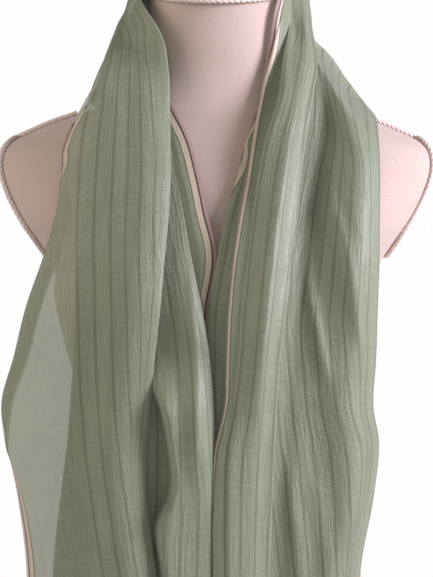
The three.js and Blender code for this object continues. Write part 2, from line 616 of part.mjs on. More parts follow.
// One ring of a fall, at a drop below the shoulder
function fallRing(side, starts, lines, drop) {
  const level = levelling.share * ease(drop / levelling.over);
  const moved = ease((drop - moving.from) / moving.over);
  return starts.map((start, i) => {
    const z = start.z - drop - (start.z - shoulderMean) * level;
    const line = lines(z)[i];
    const out = mix(start.r, line.out, moved);
    const n = mix(start.n, clothClearance + clothThickness / 2 + line.lift, ease(drop / lifting));
    const lying = frontDepth(out, z);
    const hanging = valueAt(hangRows, "z", "depth", z) * Math.sqrt(Math.max(0, 1 - (out / hangHalfWidth) ** 2));
    const blend = 6;
    const far = Math.max(lying, hanging) + blend * Math.exp(-Math.abs(lying - hanging) / blend) * ease(drop / 60) * 0.5;
    const ahead = new THREE.Vector3(0, -1, 0);
    const direction = outward(Math.min(out, torsoLevel(z).half), z).lerp(ahead, ease(drop / 120)).normalize();
    const place = new THREE.Vector3(out, torsoLevel(z).lean - far, z).addScaledVector(direction, n);
    return place.setX(side * place.x);
  });
}

function fallGrid(side, hem) {
  const list = profile(side < 0 ? 0 : 180);
  const section = neckSection(list, side < 0 ? 0 : 180);
  const starts = (side < 0 ? leftStarts : rightStarts).map((share) => {
    const { s, n } = shareAt(section, share);
    const foot = along(list, s);
    return { r: foot.r, z: foot.z, n };
  });
  const lines = side < 0 ? leftLines : rightLines;
  return [...ringDrops, shoulderMean - hem].map((drop) => {
    const ring = fallRing(side, starts, lines, drop);
    if (drop === 0) ring.forEach((p) => (p.y -= seat / 2));
    return ring;
  });
}

// The named pieces
const fabric = (color) => new THREE.MeshStandardMaterial({ color, roughness: 0.85, metalness: 0, side: THREE.DoubleSide });
const materials = {
  scarf: fabric(0x8d9479),
  linen: fabric(0xcdb9b0),
  cord: fabric(0xe3d3c8),
  wood: new THREE.MeshStandardMaterial({ color: 0xb9946a, roughness: 0.5, metalness: 0 }),
};

const part = new THREE.Group();
function piece(name, geometry, material) {
  const mesh = new THREE.Mesh(geometry, material);
  mesh.name = name;
  part.add(mesh);
  return mesh;
}

const baseProfile = [
  [0, 0],
  [baseRadius - 2, 0],
  [baseRadius, 2],
  [baseRadius, baseHeight - 6],
  [baseRadius - 6, baseHeight - 1],
  [baseRadius - 16, baseHeight],
  [0, baseHeight],
].map(([r, z]) => new THREE.Vector2(r, z));
const upright = new THREE.Matrix4().makeRotationX(Math.PI / 2);
piece("base", new THREE.LatheGeometry(baseProfile, 40).applyMatrix4(upright), materials.wood);

const poleLength = torsoBottom - baseHeight - 2 * seat;
const pole = new THREE.CylinderGeometry(poleRadius, poleRadius, poleLength, 24).applyMatrix4(upright);
piece("pole", pole.translate(0, 0, baseHeight + seat + poleLength / 2), materials.wood);

piece("dress_form", torsoGeometry(), materials.linen);

piece("neck_cord", new THREE.TubeGeometry(neckCordPath(), 40, cordRadius, 6, true), materials.cord);
for (const [name, side] of [["left", -1], ["right", 1]]) {
  piece(name + "_armhole_cord", new THREE.TubeGeometry(armholeCordPath(side), 40, cordRadius, 6, true), materials.cord);
  const section = new THREE.Shape().absarc(0, 0, cordRadius, 0, 2 * Math.PI);
  const options = { extrudePath: shoulderCordPath(name, side), steps: 8, curveSegments: 3 };
  piece(name + "_shoulder_cord", new THREE.ExtrudeGeometry(section, options), materials.cord);
}

piece("scarf_left_fall", wall(fallGrid(-1, 118), true, false), materials.scarf);
piece("scarf_neck", wall(neckGrid(), true, true), materials.scarf);
piece("scarf_right_fall", wall(fallGrid(1, 100), true, false), materials.scarf);

export default part;
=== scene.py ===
# A sheer chanderi scarf hung round the neck of a linen dress form on a turned stand.
import math
from functools import partial
import bpy
import numpy as np
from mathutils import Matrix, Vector


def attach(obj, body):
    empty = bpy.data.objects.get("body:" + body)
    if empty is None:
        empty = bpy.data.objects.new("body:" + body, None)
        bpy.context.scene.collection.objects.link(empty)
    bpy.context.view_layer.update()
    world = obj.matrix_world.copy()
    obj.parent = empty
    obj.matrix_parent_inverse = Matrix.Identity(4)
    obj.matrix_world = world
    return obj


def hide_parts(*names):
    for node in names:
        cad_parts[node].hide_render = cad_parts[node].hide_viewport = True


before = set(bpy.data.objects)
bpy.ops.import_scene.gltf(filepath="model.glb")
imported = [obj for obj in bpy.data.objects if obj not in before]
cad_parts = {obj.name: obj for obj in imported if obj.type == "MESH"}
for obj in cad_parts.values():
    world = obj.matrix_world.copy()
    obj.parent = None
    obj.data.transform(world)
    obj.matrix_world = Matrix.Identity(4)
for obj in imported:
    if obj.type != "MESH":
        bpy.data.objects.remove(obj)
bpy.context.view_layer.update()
print("frame loaded")

mm = 0.001  # the tables below are in millimetres, the meshes in metres


def linear(hexColour, alpha=1.0):  # an sRGB hex colour as linear values
    channels = [int(hexColour[i:i + 2], 16) / 255 for i in (1, 3, 5)]
    return tuple(c / 12.92 if c <= 0.04045 else ((c + 0.055) / 1.055) ** 2.4 for c in channels) + (alpha,)


def ease(x):  # 0 to 1 with flat ends
    t = np.clip(x, 0, 1)
    return t * t * (3 - 2 * t)


def mix(a, b, t):  # a where t is 0, b where it is 1
    return a + (b - a) * t


def unit(vectors):  # each divided by its length
    return vectors / np.linalg.norm(vectors, axis=-1, keepdims=True)


def summed(lengths):  # 0 and then each length added to those before it
    return np.concatenate([[0], np.cumsum(lengths)])


def steps(points):  # distances from each point, or each point of a row, to the next
    return np.linalg.norm(np.diff(points, axis=0), axis=-1)


def circle(count):  # that many even turns round the upright
    return np.linspace(0, 2 * np.pi, count, endpoint=False)


def filled(*parts):  # the parts spread over one grid and set side by side
    return np.stack(np.broadcast_arrays(*parts), axis=-1)


def hermite(y0, y1, m0, m1, t):  # the cubic from y0 at 0 to y1 at 1, with slopes m0 and m1 there
    values = y0 * (1 + 2 * t) * (1 - t) ** 2 + y1 * t * t * (3 - 2 * t)
    return values + m0 * t * (1 - t) ** 2 - m1 * t * t * (1 - t)


def smoothAt(rows, axis, name, at):
    # a cubic curve through one column of a table, its slope at each row the mean of the slopes on either side
    x = np.array(rows[axis], float)
    y = np.array(rows[name], float)
    if x[0] > x[-1]:
        x, y = x[::-1], y[::-1]
    at = np.clip(at, x[0], x[-1])
    i = np.clip(np.searchsorted(x, at) - 1, 0, len(x) - 2)
    slope = np.diff(y) / np.diff(x)
    tangent = np.concatenate([slope[:1], (slope[:-1] + slope[1:]) / 2, slope[-1:]])
    span = x[i + 1] - x[i]
    return hermite(y[i], y[i + 1], span * tangent[i], span * tangent[i + 1], (at - x[i]) / span)


def rowAt(table, axis, at):  # every other column of a table at a value of one
    return {name: smoothAt(table, axis, name, at) for name in table if name != axis}


def gridFaces(rows, columns, closeAcross=False):
    # the four corners of each cell of a grid, and of the cells that join its last column to its first
    r, c = np.meshgrid(np.arange(rows - 1), np.arange(columns if closeAcross else columns - 1), indexing="ij")
    a = (r * columns + c).ravel()
    b = (r * columns + (c + 1) % columns).ravel()
    return np.stack([a, b, b + columns, a + columns], axis=1)


def makeMesh(name, points, quads, uv=None, slot=None, material=None):
    # points in millimetres become a smooth-shaded object at the origin; uv holds one pair for each point
    mesh = bpy.data.meshes.new(name)
    mesh.from_pydata((points.reshape(-1, 3) * mm).tolist(), [], quads.tolist())
    mesh.polygons.foreach_set("use_smooth", np.ones(len(quads), bool))
    if uv is not None:
        layer = mesh.uv_layers.new(name="cloth")
        corner = np.zeros(len(mesh.loops), np.int32)
        mesh.loops.foreach_get("vertex_index", corner)
        layer.data.foreach_set("uv", uv.reshape(-1, 2)[corner].ravel() * mm)
    piece = bpy.data.objects.new(name, mesh)
    bpy.context.collection.objects.link(piece)
    if material:
        mesh.materials.append(material)
    if slot:
        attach(piece, "root")
    mesh.update()
    return piece


def addNode(tree, kind, inputs=None, **settings):  # adds a shader node with its settings, values and links
    node = tree.nodes.new("ShaderNode" + kind)
    for key, value in settings.items():
        setattr(node, key, value)
    for key, value in (inputs or {}).items():
        if isinstance(value, bpy.types.NodeSocket):
            tree.links.new(value, node.inputs[key])
        else:
            node.inputs[key].default_value = linear(value) if isinstance(value, str) else value
    return node


def newMaterial(name):
    material = bpy.data.materials.new(name)
    material.use_nodes = True
    material.node_tree.nodes.clear()
    return material, material.node_tree


camera = {"place": (0, -1.5, 0.7), "target": (0, 0, 0.62), "lens": 104.1}
lights = {  # place, size and power of each soft lamp
    "key": {"place": (1.75, -0.75, 1.3), "size": 0.8, "power": 65, "colour": "#f8eeff"},
    "front": {"place": (-0.15, -2.1, 1.3), "size": 1.4, "power": 5.6, "colour": "#fff1e8"},
    "left": {"place": (-1.6, -0.5, 1.35), "size": 1.2, "power": 15.5, "colour": "#ffeae0"},
    "back": {"place": (-0.6, 2.2, 1.5), "size": 1.4, "power": 9, "colour": "#fffaf8"},
}
studio = {"surround": "#fefefe", "seen": 1.0, "felt": 0.2,  # its strength where it is seen, and as a light
          "floor": "#eceae7", "floorRadius": 1300, "floorSides": 96}


def aimed(name, data, place):  # a camera or a lamp at its place, turned to the camera's target
    thing = bpy.data.objects.new(name, data)
    bpy.context.collection.objects.link(thing)
    thing.location = place
    thing.rotation_euler = (Vector(camera["target"]) - thing.location).to_track_quat("-Z", "Y").to_euler()
    return thing


def setStage():
    # the camera, the lamps, a plain surround and a round floor
    view = aimed("camera", bpy.data.cameras.new("camera"), camera["place"])
    view.data.lens = camera["lens"]
    bpy.context.scene.camera = view

    for name, values in lights.items():
        lamp = bpy.data.lights.new(name, "AREA")
        lamp.size = values["size"]
        lamp.energy = values["power"]
        lamp.color = linear(values["colour"])[:3]
        aimed(name, lamp, values["place"])

    world = bpy.data.worlds.new("studio")
    world.use_nodes = True
    tree = world.node_tree
    tree.nodes.clear()
    # the white surround is bright where it is seen, and dim where it lights the form, so the shade stays soft
    path = addNode(tree, "LightPath")
    strength = addNode(tree, "MapRange", {"Value": path.outputs["Is Camera Ray"],
                                                    "To Min": studio["felt"], "To Max": studio["seen"]})
    sky = addNode(tree, "Background", {"Color": studio["surround"], "Strength": strength.outputs[0]})
    addNode(tree, "OutputWorld", {"Surface": sky.outputs[0]})
    bpy.context.scene.world = world
    bpy.context.scene.view_settings.view_transform = "Standard"

    angle = circle(studio["floorSides"])
    rim = studio["floorRadius"] * filled(np.cos(angle), np.sin(angle), 0)
    points = np.stack([rim, rim * 0.001])  # the inner ring closes it to a point
    material, tree = newMaterial("pale painted floor")
    paint = addNode(tree, "BsdfPrincipled", {"Base Color": studio["floor"], "Roughness": 0.8})
    addNode(tree, "OutputMaterial", {"Surface": paint.outputs[0]})
    floor = makeMesh("floor", points, gridFaces(2, studio["floorSides"], True), material=material)


setStage()
print("stage set")


form = {  # half width and depths of each level; square is the power of the superellipse, lean the centre line
    "z": [205, 212, 230, 290, 370, 455, 520, 575, 612, 645, 680, 705,
          730, 745, 758, 767, 777, 786, 798, 812, 830, 850, 880, 912],
    "half": [138, 147, 152, 152, 129, 110, 122, 137, 145, 147, 177, 192,
             200, 194, 168, 147, 118, 98, 82, 71, 63, 59.5, 58, 58],
    "front": [84, 93, 99, 103, 98, 82, 91, 104, 111, 110, 104, 96,
              84, 76, 69, 65, 62, 59, 56, 54, 53, 52, 52, 52],
    "back": [88, 97, 105, 112, 97, 76, 82, 92, 97, 101, 102, 99,
             92, 85, 77, 72, 67, 64, 61, 59, 57, 56, 56, 56],
    "square": [2.2] * 7 + [2.3] * 6 + [2.2, 2.1] + [2] * 9,
    "lean": [0] * 11 + [-1, -2, -3, -4, -5, -6, -7, -8, -9, -11, -13, -16, -19],
}
formFoot, formTop = 205, 912  # the heights where the form's sections begin and end
formRings = [(formFoot, 235, 14), (235, 640, 96), (640, 830, 110), (830, formTop, 40)]  # from, to, how many
formAround = 288  # points round each ring
neckPlate = {"y": -13, "z": 881, "slope": 0.25, "centre": -16}
armhole = {"z": [640, 650, 664, 685, 707, 728, 740, 747, 753, 758, 764, 775],
           "x": [147, 150, 157, 170, 181, 187, 186.5, 183.5, 178.5, 172, 161, 140],
           "low": 650, "high": 775}
bust = {"x": 70, "z": 612, "wide": 40, "high": 44, "depth": 9}
cord = {
    "radius": 2.4, "gap": 0.3, "strands": 3, "pitch": 15, "sides": 24,
    "groove": 0.8, "strand": 0.22,  # shares of the radius: up to the grooves, and from them to the strands
    "armholeSunk": 0.8, "shoulderSunk": 0.5,  # how far the stitches draw each cord into the linen
    "shoulderFrom": {"left": 124, "right": 142}, "shoulderTo": 182,
    "steps": {"neck": 620, "armhole": 460, "shoulder": 110}, "corners": 48,
}


def level(z):  # the form's section at each height
    return rowAt(form, "z", z)


def otherShare(across, at):  # the other share of a superellipse's radius where one share is across
    return (1 - across ** at["square"]) ** (1 / at["square"])


def bustDepth(x, z):  # two soft bell-shaped swellings
    across, up = (np.abs(x) - bust["x"]) / bust["wide"], (z - bust["z"]) / bust["high"]
    return bust["depth"] * np.exp(-across ** 2 - up ** 2)


def frontDepth(x, z):  # how far the front lies before the centre line: the superellipse, and the bust on it
    at = level(z)
    return (at["front"] + bustDepth(x, z)) * otherShare(np.clip(np.abs(x) / at["half"], 0, 1), at)


def backRadius(turn, z):  # distance from the centre line in a direction from the left shoulder over the back
    at = level(z)
    across = np.abs(np.cos(turn)) / at["half"]
    deep = np.abs(np.sin(turn)) / at["back"]
    return (across ** at["square"] + deep ** at["square"]) ** (-1 / at["square"])


def armholeX(z):  # how far out the arm plates reach at each height
    return smoothAt(armhole, "z", "x", z)


def neckHeight(y):  # the slanting plate that closes the neck
    return neckPlate["z"] + neckPlate["slope"] * (y - neckPlate["y"])


def makeForm(material):
    # rings of the superellipse, one for each level, pressed flat on the planes of the arm plates and of the
    # neck, and drawn in to a point under the body and on the neck
    angle = circle(formAround)
    z = np.concatenate([np.linspace(*span)[:-1] for span in formRings] + [[formTop]])
    at = {name: values[:, None] for name, values in level(z).items()}
    power = 2 / at["square"]
    across = np.sign(np.cos(angle)) * np.abs(np.cos(angle)) ** power
    deep = np.sign(np.sin(angle)) * np.abs(np.sin(angle)) ** power
    zGrid = np.repeat(z[:, None], formAround, axis=1)
    x = at["half"] * across
    depth = np.where(deep < 0, at["front"] + bustDepth(x, zGrid), at["back"])
    y = at["lean"] + depth * deep
    atPlate = (zGrid > armhole["low"]) & (zGrid < armhole["high"])
    x = np.where(atPlate, np.sign(x) * np.minimum(np.abs(x), armholeX(zGrid)), x)
    body = filled(x, y, np.minimum(zGrid, neckHeight(y)))
    centreTop = np.array([0, neckPlate["centre"], neckHeight(neckPlate["centre"])])
    centreFoot = np.array([0.0, 0.0, formFoot])
    under = np.stack([mix(centreFoot, body[0], t) for t in (0.001, 0.25, 0.5, 0.75, 0.95)])
    cap = np.stack([mix(centreTop, body[-1], t) for t in (0.97, 0.9, 0.75, 0.5, 0.25, 0.001)])
    points = np.concatenate([under, body, cap])
    girth = 900  # millimetres of linen round the form
    uv = filled(angle / (2 * np.pi) * girth, summed(steps(points).mean(axis=1))[:, None])
    quads = gridFaces(len(points), formAround, True)
    piece = makeMesh("dressForm", points, quads, uv, "form_linen", material)
    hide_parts("dress_form")
    return piece


def twistedTube(path, closed):
    # a section carried along a path: a circle with one lobe for each strand, which turns once a pitch; the
    # ends of an open tube are drawn in to a point
    sides = cord["sides"]
    ahead = np.roll(path, -1, axis=0) - np.roll(path, 1, axis=0)
    if not closed:
        ahead[0], ahead[-1] = path[1] - path[0], path[-1] - path[-2]
    ahead = unit(ahead)
    side = unit(np.cross(ahead, [0.02, 1, 0.05]))
    up = np.cross(ahead, side)
    length = summed(steps(path))
    whole = length[-1] + (np.linalg.norm(path[0] - path[-1]) if closed else 0)
    turns = max(1, round(whole / cord["pitch"])) / whole
    angle = circle(sides)
    lobes = np.abs(np.cos(cord["strands"] / 2 * (angle - 2 * np.pi * turns * length[:, None])))
    radius = cord["radius"] * (cord["groove"] + cord["strand"] * lobes)
    if not closed:
        radius[[0, -1]] *= 0.02
    outward = np.cos(angle)[:, None] * side[:, None] + np.sin(angle)[:, None] * up[:, None]
    points = path[:, None] + radius[..., None] * outward
    if closed:
        points = np.concatenate([points, points[:1]])
    uv = filled(angle / (2 * np.pi) * cord["pitch"], np.linspace(0, whole, len(points))[:, None])
    return points, gridFaces(len(points), sides, True), uv


def smoothLoop(points, count, closed=True):
    # a Catmull-Rom curve through the points, evenly filled in
    n = len(points)
    t = np.linspace(0, n if closed else n - 1, count, endpoint=not closed)
    i = np.minimum(t.astype(int), n - 1 if closed else n - 2)
    f = (t - i)[:, None]
    pick = (lambda k: points[(i + k) % n]) if closed else (lambda k: points[np.clip(i + k, 0, n - 1)])
    a, b, c, d = pick(-1), pick(0), pick(1), pick(2)
    return 0.5 * (2 * b + (c - a) * f + (2 * a - 5 * b + 4 * c - d) * f * f
                  + (3 * b - a - 3 * c + d) * f ** 3)


def neckRoute():  # round the edge of the neck's plate
    out = 0.8 * (cord["radius"] + cord["gap"])
    angle = circle(cord["corners"])
    at = level(np.full(cord["corners"], float(neckPlate["z"])))
    y = at["lean"] + (np.where(np.sin(angle) < 0, at["front"], at["back"]) + out) * np.sin(angle)
    ring = filled((at["half"] + out) * np.cos(angle), y, neckHeight(y) + out)
    return smoothLoop(ring, cord["steps"]["neck"])


def armholeRoute(side):  # round the arm plate's edge, out from it along the plate's own slope
    heights = np.arange(armhole["low"], armhole["high"], 0.1)
    isOpen = level(heights)["half"] > armholeX(heights)
    angle = circle(cord["corners"])
    z = mix(heights[isOpen][0], heights[isOpen][-1], (1 - np.cos(angle)) / 2)
    at = level(z)
    depth = np.where(np.sin(angle) < 0, -at["front"], at["back"])
    y = at["lean"] + depth * otherShare(np.minimum(armholeX(z) / at["half"], 1), at)
    run = (armholeX(z + 1) - armholeX(z - 1)) / 2
    outward = unit(filled(1, 0, -run))
    ring = filled(armholeX(z), y, z) + outward * (cord["radius"] + cord["gap"] - cord["armholeSunk"])
    return smoothLoop(ring * [side, 1, 1], cord["steps"]["armhole"])


def shoulderRoute(name, side):  # along the top of the shoulder, from the scarf's edge to the arm plate
    x = np.arange(cord["shoulderFrom"][name], cord["shoulderTo"], 4.0)
    heights = np.arange(745, formTop, 0.25)
    z = np.interp(x, level(heights)["half"][::-1], heights[::-1])
    line = filled(side * x, level(z)["lean"], z + cord["radius"] + cord["gap"] - cord["shoulderSunk"])
    return smoothLoop(line, cord["steps"]["shoulder"], False)


def makeCords(material):
    # the neck's cord, and on each side one round the arm plate and one along the shoulder
    routes = {"neck_cord": ("neckCord", neckRoute(), True)}
    for name, side in (("left", -1), ("right", 1)):
        routes[name + "_armhole_cord"] = (name + "ArmholeCord", armholeRoute(side), True)
        routes[name + "_shoulder_cord"] = (name + "ShoulderCord", shoulderRoute(name, side), False)
    for node, (title, path, closed) in routes.items():
        points, quads, uv = twistedTube(path, closed)
        piece = makeMesh(title, points, quads, uv, "cord_cotton", material)
        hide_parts(node)


stand = {  # turned profiles, radius and height, from the axis to the rim and back
    "base": [(0, 0), (60, 0), (137, 0), (139.3, 0.8), (140, 2.6), (140, 9), (139.6, 12.4), (137.4, 15),
             (133.5, 16.6), (128, 17.2), (124.6, 17.2), (123.6, 16.4), (122.4, 17.4), (118, 18), (60, 18),
             (0.2, 18)],
    "pole": [(0, 18.3), (12, 18.3), (12.9, 19.2), (12.9, 26), (11.4, 28.5), (12.2, 31), (11.2, 34),
             (11.2, 190), (12.2, 193), (12.9, 197), (12.9, 203.8), (12, 204.7), (0.2, 204.7)],
    "sides": 128,
    "sharpOver": 50,  # degrees between two faces that meet in an arris
}


def makeStand(material):
    # each profile spun round the upright
    angle = circle(stand["sides"])
    for node, title in (("base", "standBase"), ("pole", "standPole")):
        radius, height = np.array(stand[node], float).T[..., None]
        radius = np.maximum(radius, 0.02)
        points = filled(radius * np.cos(angle), radius * np.sin(angle), height)
        quads = gridFaces(len(radius), stand["sides"], True)
        piece = makeMesh(title, points, quads, None, "stand_wood", material)
        piece.data.set_sharp_from_angle(angle=math.radians(stand["sharpOver"]))
        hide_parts(node)


# the next five each add nodes to a tree and give their output
def mathsOf(tree, operation, *values):
    return addNode(tree, "Math", dict(enumerate(values)), operation=operation).outputs[0]


def rangeOf(tree, value, low, high, falling=False, **settings):
    # 0 up to the lower bound and 1 from the upper one on, or 1 and then 0 where it falls
    sockets = {"Value": value, "From Min": low, "From Max": high, "To Min": falling, "To Max": not falling}
    return addNode(tree, "MapRange", sockets, **settings).outputs[0]


def blendOf(tree, factor, one, other):
    return addNode(tree, "Mix", {0: factor, 6: one, 7: other}, data_type="RGBA").outputs[2]


def reliefOf(tree, height, strength, distance, **under):
    sockets = {"Height": height, "Strength": strength, "Distance": distance, **under}
    return addNode(tree, "Bump", sockets).outputs[0]


def drawnNoise(tree, vector, scale, detail, distortion=0.0, turned=0.0):
    # noise with a scale for each axis, so that it can be drawn out along one of them
    place = addNode(tree, "Mapping", {"Vector": vector, "Scale": scale, "Rotation": (0, 0, turned)})
    sockets = {"Vector": place.outputs[0], "Scale": 1.0, "Detail": detail, "Distortion": distortion}
    return addNode(tree, "TexNoise", sockets).outputs[0]


def finished(material, tree, sockets):  # with the last two nodes of a plain finish
    surface = addNode(tree, "BsdfPrincipled", sockets)
    addNode(tree, "OutputMaterial", {"Surface": surface.outputs[0]})
    return material


def linenMaterial():
    # washed linen: dull, with threads of uneven thickness that show as fine slubs along both directions
    linen = {"colour": "#bfaea3", "pale": "#cbbaaf", "relief": 0.22, "roughness": 0.9, "sheen": 0.25,
             "thread": 1.0, "slub": 9.0}  # millimetres, coarser than the real 0.6
    material, tree = newMaterial("washed linen")
    uv = addNode(tree, "UVMap", uv_map="cloth").outputs[0]
    scale = 1000 / linen["thread"]
    threads = [drawnNoise(tree, uv, across, 2.0) for across in ((scale, scale / 6, 1), (scale / 6, scale, 1))]
    slubs = drawnNoise(tree, uv, (1000 / linen["slub"], 700, 1), 3.0)
    tone = mathsOf(tree, "MULTIPLY", mathsOf(tree, "ADD", *threads), slubs)
    colour = blendOf(tree, rangeOf(tree, tone, 0.2, 0.85), linen["colour"], linen["pale"])
    return finished(material, tree, {
        "Base Color": colour, "Roughness": linen["roughness"], "Sheen Weight": linen["sheen"],
        "Sheen Roughness": 0.5, "Normal": reliefOf(tree, tone, linen["relief"], 0.0006)})


def cottonCordMaterial():
    # mercerised cotton cord: pale strands with a faint shine and darker grooves between them
    cotton = {"colour": "#cfbfb6", "pale": "#f6ece6", "relief": 0.3, "roughness": 0.75, "sheen": 0.2}
    material, tree = newMaterial("twisted cotton cord")
    uv = addNode(tree, "UVMap", uv_map="cloth").outputs[0]
    fibre = drawnNoise(tree, uv, (900, 260, 1), 2.0, turned=0.6)
    return finished(material, tree, {
        "Base Color": blendOf(tree, fibre, cotton["colour"], cotton["pale"]),
        "Roughness": cotton["roughness"], "Normal": reliefOf(tree, fibre, cotton["relief"], 0.0004),
        "Sheen Weight": cotton["sheen"]})


def woodMaterial():
    # turned beech with a satin varnish: pale brown with short darker flecks along the grain
    beech = {"colour": "#9b7650", "pale": "#d0ad82", "relief": 0.12, "roughness": 0.38, "varnish": 0.25}
    material, tree = newMaterial("turned beech")
    place = addNode(tree, "TexCoord").outputs["Object"]
    rings = drawnNoise(tree, place, (14, 160, 160), 5.0, distortion=0.6)
    both = mathsOf(tree, "MULTIPLY", rings, drawnNoise(tree, place, (90, 900, 900), 2.0))
    colour = blendOf(tree, rangeOf(tree, both, 0.12, 0.42), beech["colour"], beech["pale"])
    return finished(material, tree, {
        "Base Color": colour, "Roughness": beech["roughness"], "Coat Weight": beech["varnish"],
        "Coat Roughness": 0.25, "Normal": reliefOf(tree, both, beech["relief"], 0.0004)})


torso = makeForm(linenMaterial())
makeCords(cottonCordMaterial())
makeStand(woodMaterial())
print("form, cords and stand made")


# Heights in millimetres of the lines that a fall of the scarf hangs by, and how far each lies from the
# chest's middle. Across the cloth a share runs from 0 at one selvedge over 1 and 2, the two long folds, to
# 3 at the other selvedge.
neckTable = {  # round the neck, for each turn from the left shoulder over the back to the right one
    "turn": [0, 30, 60, 90, 120, 140, 152, 166, 180],
    "seam": [866, 868, 870, 871, 870, 869, 868, 866, 864],
    "bottom": [782.5, 780, 776, 772, 769, 769, 769.5, 770, 771],
    "top": [893, 891, 888, 886, 886, 890, 896, 902, 905],
    "flap": [135, 143, 148, 148, 92, 26, 14, 13, 13],
    "hinge": [0, 0, 0, 0, 0, 10, 95, 172, 180],
    "bottomOut": [4.2, 4, 3.8, 3.8, 4, 4.5, 5, 6, 6.5],
    "mid": [6.8, 6.4, 6, 6, 6.5, 7.5, 8, 9, 10],
    "topOut": [9.2, 8.8, 8.2, 8.2, 9.5, 10.5, 10, 9, 8],
    "outer": [11.8, 11.2, 10.5, 10.5, 12.5, 13.5, 13, 12, 12],
    "swell": [1.5, 1.5, 1, 1, 1.5, 3, 5, 8, 9],
}
leftTable = {
    "z": [800, 783, 752, 719, 691, 654, 609, 568, 527, 498, 453, 390, 250, 100],
    "selvedge": [44, 38, 23, 14, 8, 0, 6, 9, 10, 10, 10, 12, 14, 16],
    "crest": [50, 46, 40, 34, 28, 21, 11.5, 5, 2, 0.5, -2.5, -2, 1, 3],
    "hidden": [104, 106, 107, 110, 113, 116, 118, 119.5, 122.5, 125, 131, 138, 139, 141],
    "front": [38.5, 39, 38.5, 38, 39, 42, 46, 50.5, 54.5, 58, 57.5, 50, 51, 54],
    "outer": [121, 126, 133, 131, 135, 145, 161, 172, 184, 181, 170, 161, 163, 165],
    "roll": [0, 0, 8, 84, 160, 180, 180, 172, 140, 105, 55, 15, 0, 0],
    "under": [3.4, 3.4, 3.4, 3.5, 4, 5, 5, 5, 6, 7, 8, 8, 8, 8],
    "crestLift": [4.6, 4.6, 4.6, 4.7, 5.2, 6.8, 10, 12, 13, 15, 17, 17, 16, 16],
}
rightTable = {
    "z": [850, 822, 800, 783, 752, 719, 691, 654, 609, 568, 527, 498, 453, 390, 250, 80],
    "rear": [50, 44, 38, 34, 25, 17, 8, 1, -7, -8, -8, -7, -6, -5, -4, -3],
    "outer": [112, 124, 131, 135, 135.5, 136, 136, 135.5, 134, 133, 131, 136, 132, 121, 119, 122],
    "valley": [80, 88, 92, 92, 89, 82, 77, 72, 66, 61, 58, 56, 53, 50, 51, 52],
    "ridge": [76, 83, 83, 81, 76, 70.5, 66.5, 62, 57, 52, 49.5, 48, 46, 44, 45, 46],
    "turnIn": [58, 56, 55.5, 53, 43, 36, 32, 27, 22, 19, 14, 8, 6, 6, 4, 3],
    "selvedge": [45, 42, 39, 36, 29, 24, 19.5, 14, 9.5, 7.5, 6.5, 6.5, 16, 20, 20, 18],
    "rearLift": [3, 3, 3, 4.5, 5, 5, 5.5, 5.5, 5.5, 5, 5, 5, 5, 4, 4, 4],
    "ridgeLift": [14, 16, 17, 18, 20, 21, 21, 21, 20, 19, 17.5, 16, 15.5, 15, 15, 15],
    "crown": [8, 9, 9, 9, 8, 8, 8, 8, 8, 7.5, 6.5, 5.5, 5, 5, 5, 5],
    "selvedgeLift": [9, 9, 9.5, 10, 10, 10.5, 11, 12, 12, 12.5, 14, 16, 17, 17, 17, 17],
    "edgeDrop": [1, 3, 5, 5, 4, 3, 1, 0, 0, 0, 0, 0, 0, 0, 0, 0],
    "brinkRise": [3, 7, 10, 10, 8, 5, 3, 3, 3, 3, 2, 1, 1, 1, 1, 1],
    "roll": [57, 68, 82, 84, 74, 74, 81, 84, 84, 82, 82, 88, 118, 160, 180, 180],
    "rearRoll": [0, 10, 25, 45, 85, 125, 150, 170, 180, 180, 180, 180, 180, 180, 180, 180],
}
hangTable = {"z": [900, 865, 840, 815, 790, 765, 735, 700, 660, 620, 560, 450, 300, 60],
             "depth": [0, 5, 16, 33, 50, 65, 80, 98, 115, 124, 127, 123, 119, 117]}
leftShares = [0, .09, .18, .25, .32, .39, .43, .48, .64, .8, .95, 1,
              1.05, 1.35, 1.7, 1.95, 2, 2.05, 2.3, 2.48, 2.64, 2.8, 2.9, 2.94, 2.97, 3]
rightShares = [0, .1, .2, .28, .55, .75, .95, 1, 1.05, 1.2, 1.34, 1.46, 1.5,
               1.54, 1.58, 1.64, 1.68, 1.72, 1.84, 1.95, 2, 2.12, 2.4, 2.7, 3]
scarf = {
    "clearance": 1.5,  # from the form to the innermost layer
    "foldRadius": 6, "turnBack": 5,
    "shoulderMean": 835, "hems": (118, 100), "hangHalfWidth": 215,
    "columns": 212, "fallRows": 176, "neckRows": 92,
    "fineShares": 4001, "spreadAt": 470.0, "turnWeight": 3.2,  # for spacing the columns
}
settle = {  # millimetres of drop over which a fall passes from the shoulder's shape to its own
    "level": 220, "levelShare": 0.66,  # how much of a row's slant is levelled out
    "slow": (8, 80), "quick": (-2, 62),  # where the swing to the front starts, and how long it lasts
    "quickOuter": {-1: (2.8, 0.12), 1: (2.4, 0.3)},  # the share that the quick edge starts at, easing over
    "lift": {-1: 26, 1: 48}, "hang": 34, "blend": 60, "forward": 120, "freeFrom": 25, "freeOver": 70,
}
hemFlap = {"width": 14, "parting": 4, "bulge": 0.5}
borderFlap = {"width": 11, "parting": 3, "bulge": 0.6}
rearFlap = {"width": 14, "parting": 2.6, "bulge": 0.15}
gather = {  # shares as they are far down the falls, and the shares that they leave the shoulder by
    "left": ([0, 2, 2.2, 2.48, 2.55, 2.69, 2.83, 2.95, 3], [0, 2, 2.05, 2.13, 2.21, 2.35, 2.54, 2.77, 3]),
    "right": ([0, 1, 1.2, 1.34, 1.46, 1.56, 1.68, 1.84, 2, 3],
              [0, 1, 1.3, 1.5, 1.64, 1.72, 1.82, 1.93, 2, 3]),
}


